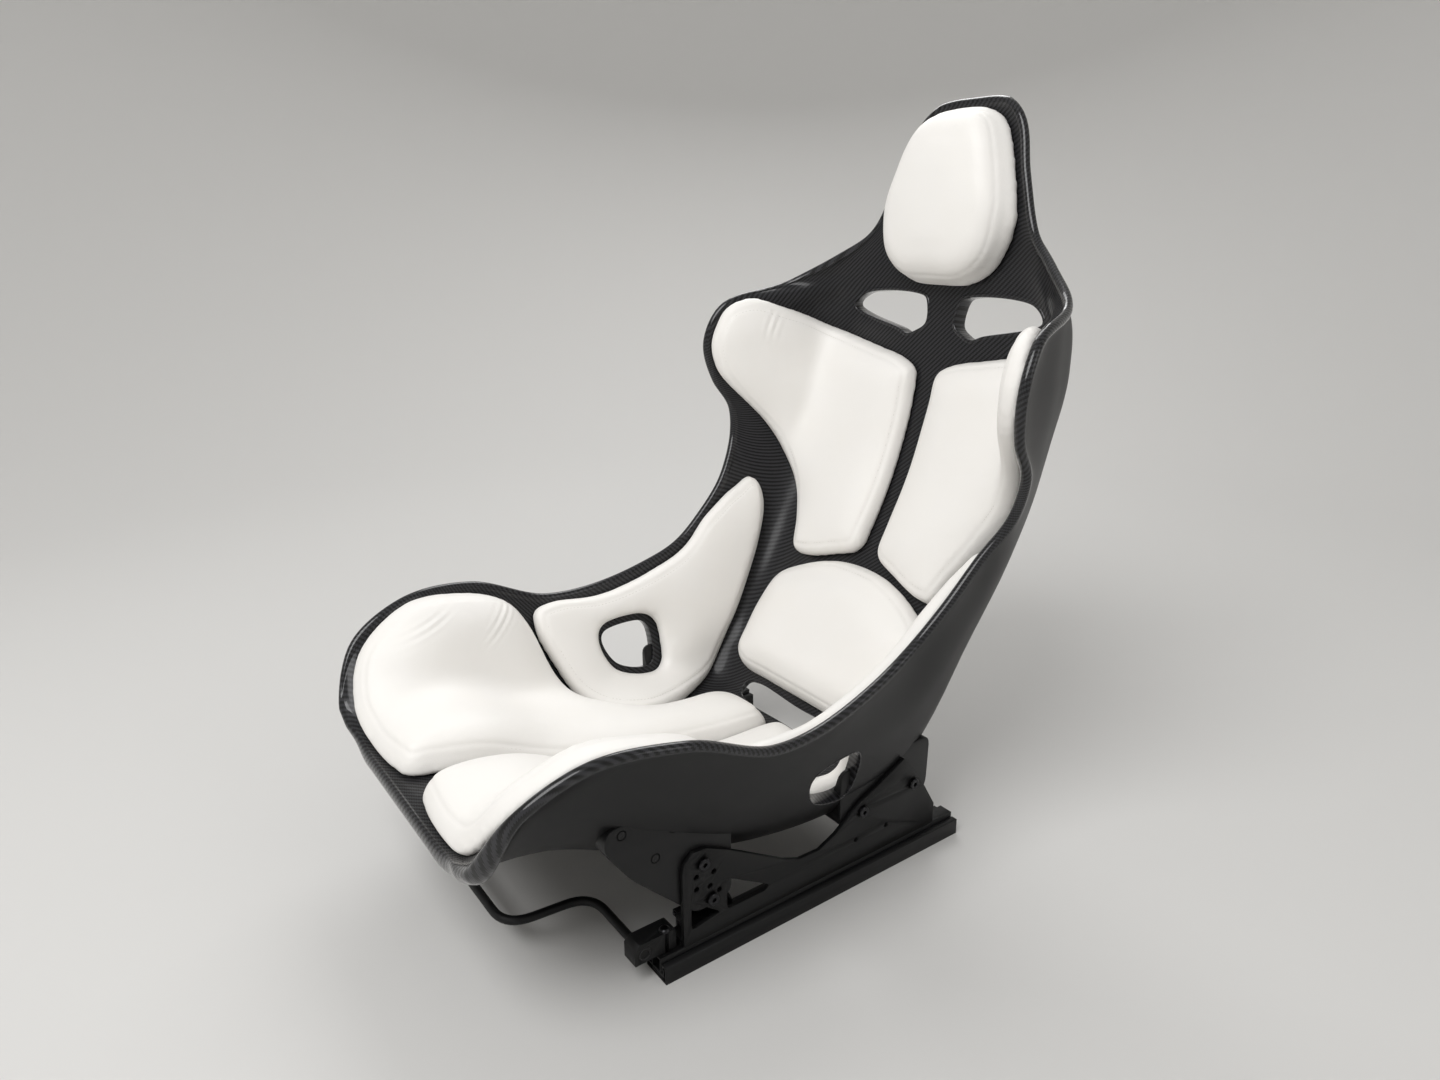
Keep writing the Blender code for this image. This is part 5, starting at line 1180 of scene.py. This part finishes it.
def clouded(name, tints, cloud, fade=None, roughness=None, grain=None, **sockets):
    """A plain finish: cloud is the size in mm and the detail of a noise that mixes two tints, fade
    and roughness are its gain and offset on their mix and on the roughness, and grain is the size
    in mm, the detail, the strength and the depth in mm of a finer noise that gives the relief."""
    material, node = start_material(name, **sockets)
    place = node("TexCoord")["Object"]
    noise = node("TexNoise", {"Vector": place, "Scale": 1 / (cloud[0] * MM), "Detail": cloud[1]})["Fac"]
    share = node("Math", (noise, *fade), operation="MULTIPLY_ADD")[0] if fade else noise
    colour = node("Mix", {"Factor": share, "A": tints[0], "B": tints[1]}, data_type="RGBA")["Result"]
    drive(material, Base_Color=colour)
    if roughness:
        drive(material, Roughness=node("Math", (noise, *roughness), operation="MULTIPLY_ADD")[0])
    if grain:
        fine = node("TexNoise", {"Vector": place, "Scale": 1 / (grain[0] * MM), "Detail": grain[1]})["Fac"]
        bump = node("Bump", {"Height": fine, "Strength": grain[2], "Distance": grain[3] * MM})["Normal"]
        drive(material, Normal=bump)
    return material


FINISHES = {}


def make_finishes(scene):
    """Makes every finish from the scene's colours."""
    colours, tow = scene.seat_finish, scene.seat_shell.tow
    FINISHES["carbon"] = carbon_twill(colours, tow, "carbon_twill_satin", 0.45, 0.16, 0.50)
    FINISHES["rim"] = carbon_twill(colours, tow, "carbon_twill_gloss", 0.9, 0.05, 0.42)
    FINISHES["leather"] = smooth_leather(colours)
    # Black satin lacquer sprayed over the laminate's outer face: no weave shows, only a fine mist
    # texture and slight long waves from the sanding underneath.
    FINISHES["lacquer"] = clouded(
        "satin_lacquer", (linear(colours.lacquer), tinted(colours.lacquer, 1.35)), cloud=(70, 4.0),
        roughness=(0.12, 0.34), grain=(1.2, 2.0, 0.15, 0.1), Metallic=0.0, IOR=1.5, Specular_IOR_Level=0.3)
    # Bonded polyester thread: three plies twisted about 1 mm a turn, which glint in a fine slant; that glint is painted
    # highlight, a fine cloud of the thread's colour over one 0.8 times as dark.
    FINISHES["thread"] = clouded(
        "polyester_thread", (tinted(colours.thread, 0.8), linear(colours.thread)), cloud=(1.0, 2.0),
        Roughness=0.55, Metallic=0.0, IOR=1.5, Sheen_Weight=0.2)
    # Black powder coat baked on steel: a fine orange-peel skin, a little worn to grey in places.
    FINISHES["steel"] = clouded(
        "powder_coated_steel", (linear(colours.steel), tinted(colours.steel, 2.2, 0.003)), cloud=(35, 5.0),
        fade=(0.9, -0.315), roughness=(0.2, 0.42), grain=(1.4, 3.0, 0.2, 0.2), Metallic=0.0, IOR=1.5,
        Specular_IOR_Level=0.3)
    # Steel bolts blackened in a hot oxide bath: a dark metal with a cloudy, lightly oiled skin.
    FINISHES["bolts"] = clouded(
        "blackened_steel", (tinted(colours.bolts, 0.72), linear(colours.bolts)), cloud=(4, 4.0),
        roughness=(0.2, 0.22), Metallic=1.0)
    # Injection-moulded nylon: even black with a faint spark-eroded texture from its tool.
    FINISHES["nylon"] = clouded(
        "moulded_nylon", (linear(colours.nylon), tinted(colours.nylon, 1.5)), cloud=(0.6, 2.0),
        grain=(0.6, 2.0, 0.2, 0.1), Roughness=0.55, Metallic=0.0, IOR=1.53)


def seat_piece(item, slot, *nodes, body="seat"):
    """A piece rides on a body and hides the CAD nodes that it replaces; slot is not used."""
    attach(item, body)
    if nodes:
        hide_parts(*nodes)
    return item


# ---------------------------------------------------------------- operators
class SEAT_OT_shell(bpy.types.Operator):
    """Makes the laminated shell with its openings, lips and bosses"""
    bl_idname = "racing_seat.shell"
    bl_label = "Shell"

    def execute(self, context):
        sizes = context.scene.seat_shell
        shell = shell_piece(sizes, (FINISHES["carbon"], FINISHES["lacquer"], FINISHES["rim"]))
        openings = [("strap_lip", STRAP_SLOT, STRAP_DEPTH, STRAP_LIP)]
        for side, sign in SIDES:
            for name, outline, scale in (("harness", HARNESS_OPENING, HARNESS_LIP), ("lap", LAP_OPENING, LAP_LIP)):
                drawn = outline if sign > 0 else mirrored(outline)
                openings.append((f"{name}_lip_{side}", drawn, BELT_DEPTH, scale))
        cut_out(shell, [plug(f"{name}_cutter", drawn, (-depth, CUTTER_RISE)) for name, drawn, depth, _ in openings])
        by_angle(shell, 50.0)
        seat_piece(shell, "carbon_laminate", "seat_shell")
        for name, drawn, _, scale in openings:
            seat_piece(opening_lip(name, drawn, sizes, FINISHES["rim"], scale), "carbon_laminate")
        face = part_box("side_mount_left")[1].x - context.scene.seat_hardware.plate - MOUNT_GAP
        for side, sign in SIDES:
            for place, outline, stations in BOSSES:
                boss = boss_piece(f"{place}_boss_{side}", outline, stations, sign, face, FINISHES["lacquer"])
                seat_piece(boss, "carbon_laminate")
        return {"FINISHED"}


class SEAT_OT_pads(bpy.types.Operator):
    """Makes the leather pads and puffs them with a cloth simulation"""
    bl_idname = "racing_seat.pads"
    bl_label = "Pads"

    def execute(self, context):
        sizes = context.scene.seat_pads
        for kind, outline, reach, centre, hole, nodes in PADS:
            drawn = whole(outline) if len(nodes) == 1 else outline
            name = nodes[0].replace("_pad", "_cushion")
            item = pad_piece(name, drawn, getattr(sizes, kind), reach, FINISHES["leather"], centre, hole)
            puff(item, sizes)
            press_seam(item, seam_line(item, drawn, sizes.seam, SEAM_STEP)[0], sizes.groove)
            rows = [seam_line(item, drawn, sizes.seam + side * SEAM_ROW, sizes.stitch) for side in (-1, 1)]
            sewing = stitches(f"{name}_stitches", rows, sizes.stitch * THREAD_SHARE, FINISHES["thread"])
            pieces = [(item, sewing)]
            if len(nodes) == 2:
                other = nodes[1].replace("_pad", "_cushion")
                pieces.append((mirror_copy(item, other), mirror_copy(sewing, f"{other}_stitches")))
            for (cushion, thread), node in zip(pieces, nodes):
                for fold in FOLDS:
                    if fold[0] == cushion.name:
                        fold_cover(cushion, *fold[1:], sizes.fold)
                seat_piece(cushion, "white_leather", node)
                seat_piece(thread, "white_leather")
        return {"FINISHED"}


class SEAT_OT_hardware(bpy.types.Operator):
    """Gives the steel pieces rounded edges and makes the bolts, inserts and release bar anew"""
    bl_idname = "racing_seat.hardware"
    bl_label = "Hardware"

    def execute(self, context):
        sizes = context.scene.seat_hardware
        kinds = {"black_coated_steel": "steel", "zinc_plated_steel": "bolts", "black_nylon": "nylon"}
        for part in frame["record"]["subparts"]:
            node, slot = part["node"], part["material_slot"]
            if slot not in kinds:
                continue
            if node.startswith("mount_bolt"):
                item = mount_bolt(node, sizes, FINISHES["bolts"])
            elif node.startswith("thread_insert"):
                item = thread_insert(node, FINISHES["bolts"])
            elif node == "release_handle":
                item = release_bar(node, sizes, FINISHES["steel"])
            else:
                item = rounded_copy(node, sizes.edge, FINISHES[kinds[slot]])
            seat_piece(item, slot, node, body=body_of(frame["nodes"][node])[0])
        return {"FINISHED"}


# Camera: heading, downward pitch and roll in degrees, focal length and sensor width in mm
CAMERA_AZIMUTH = 54.368
CAMERA_PITCH = 18.456
CAMERA_ROLL = -0.536
CAMERA_LENS = 24.42
CAMERA_SENSOR = 36.0
# (name, place, diameter, watts) of the lamps, which are aimed at the seat's middle
LAMPS = (("key", (0.5, -1.9, 2.9), 2.2, 75.0), ("fill", (2.4, 0.9, 1.6), 1.3, 5.0),
         ("back", (-1.9, 1.6, 2.8), 2.0, 42.0))
LAMP_AIM = (0.0, 0.0, 0.4)
WORLD_LIGHT = 0.55
# Backdrop: radii of its middle face and level disc, radius of its turn, height, and rings of each
BACKDROP_MIDDLE = 0.1
BACKDROP_FLAT = 2.0
BACKDROP_CURVE = 2.2
BACKDROP_TOP = 4.4
BACKDROP_RINGS = 8
BACKDROP_STEPS = 25


def backdrop(material, sides=96):
    """Floor and backdrop in one: rings of a level disc, a quarter circle that turns it up, a wall."""
    turn = np.linspace(0.0, math.pi / 2, BACKDROP_STEPS)[1:]
    flat = np.linspace(BACKDROP_MIDDLE, BACKDROP_FLAT, BACKDROP_RINGS)
    radii = np.concatenate((flat, BACKDROP_FLAT + BACKDROP_CURVE * np.sin(turn), (BACKDROP_FLAT + BACKDROP_CURVE,)))
    heights = np.concatenate((0.0 * flat, BACKDROP_CURVE * (1 - np.cos(turn)), (BACKDROP_TOP,)))
    angle = np.arange(sides) * 2 * math.pi / sides
    points = np.stack((radii[:, None] * np.cos(angle), radii[:, None] * np.sin(angle),
                       heights[:, None] * np.ones(sides)), axis=-1).reshape(-1, 3)
    rings = np.arange(len(points)).reshape(len(radii), sides)
    faces = ring_faces(list(rings)) + [rings[0].tolist()]
    return new_mesh("backdrop", points, faces, material)


class SEAT_OT_stage(bpy.types.Operator):
    """Makes the floor, the lights and the camera"""
    bl_idname = "racing_seat.stage"
    bl_label = "Stage"

    def execute(self, context):
        scene = context.scene
        colour = linear(scene.seat_finish.floor)
        # Matt backdrop paper: an even pale grey without gloss.
        backdrop(start_material("pale_floor", Metallic=0.0, Roughness=0.9, Base_Color=colour)[0])
        for name, place, size, power in LAMPS:
            lamp = bpy.data.lights.new(name, "AREA")
            lamp.shape = "DISK"
            lamp.size = size
            lamp.energy = power
            item = add_object(name, lamp)
            item.location = place
            item.rotation_euler = (Vector(LAMP_AIM) - Vector(place)).to_track_quat("-Z", "Y").to_euler()
        world = bpy.data.worlds.new("studio")
        world.use_nodes = True
        background = world.node_tree.nodes["Background"]
        background.inputs["Color"].default_value = colour
        background.inputs["Strength"].default_value = WORLD_LIGHT
        scene.world = world
        camera = bpy.data.cameras.new("camera")
        camera.lens = CAMERA_LENS
        camera.sensor_width = CAMERA_SENSOR
        item = add_object("camera", camera)
        azimuth, pitch, roll = (math.radians(angle) for angle in (CAMERA_AZIMUTH, CAMERA_PITCH, CAMERA_ROLL))
        ahead = Vector((-math.sin(azimuth) * math.cos(pitch), math.cos(azimuth) * math.cos(pitch), -math.sin(pitch)))
        right = Vector((math.cos(azimuth), math.sin(azimuth), 0.0))
        up = right.cross(ahead)
        turned_right = right * math.cos(roll) + up * math.sin(roll)
        turned_up = up * math.cos(roll) - right * math.sin(roll)
        basis = Matrix((turned_right, turned_up, -ahead)).transposed()
        item.matrix_world = Matrix.Translation(scene.seat_finish.camera_place) @ basis.to_4x4()
        scene.camera = item
        scene.view_settings.view_transform = "Standard"
        return {"FINISHED"}


class SEAT_PT_panel(bpy.types.Panel):
    """Lists the seat's operators and settings"""
    bl_idname = "SEAT_PT_panel"
    bl_label = "Racing seat"
    bl_space_type = "VIEW_3D"
    bl_region_type = "UI"
    bl_category = "Racing seat"

    def draw(self, context):
        for operator in OPERATORS:
            self.layout.operator(operator.bl_idname)
        for group in (context.scene.seat_shell, context.scene.seat_pads, context.scene.seat_hardware,
                      context.scene.seat_finish):
            box = self.layout.box()
            for name in group.bl_rna.properties.keys():
                if name not in ("name", "rna_type"):
                    box.prop(group, name)


OPERATORS = (SEAT_OT_shell, SEAT_OT_pads, SEAT_OT_hardware, SEAT_OT_stage)
SETTINGS = (("seat_shell", SeatShellSettings), ("seat_pads", SeatPadSettings),
            ("seat_hardware", SeatHardwareSettings), ("seat_finish", SeatFinishSettings))


def register():
    for name, group in SETTINGS:
        bpy.utils.register_class(group)
        setattr(bpy.types.Scene, name, PointerProperty(type=group))
    for operator in OPERATORS:
        bpy.utils.register_class(operator)
    bpy.utils.register_class(SEAT_PT_panel)


def unregister():
    bpy.utils.unregister_class(SEAT_PT_panel)
    for operator in reversed(OPERATORS):
        bpy.utils.unregister_class(operator)
    for name, group in reversed(SETTINGS):
        delattr(bpy.types.Scene, name)
        bpy.utils.unregister_class(group)


def main():
    register()
    make_finishes(bpy.context.scene)
    bpy.ops.racing_seat.shell()
    bpy.ops.racing_seat.pads()
    bpy.ops.racing_seat.hardware()
    bpy.ops.racing_seat.stage()


if __name__ == "__main__":
    main()
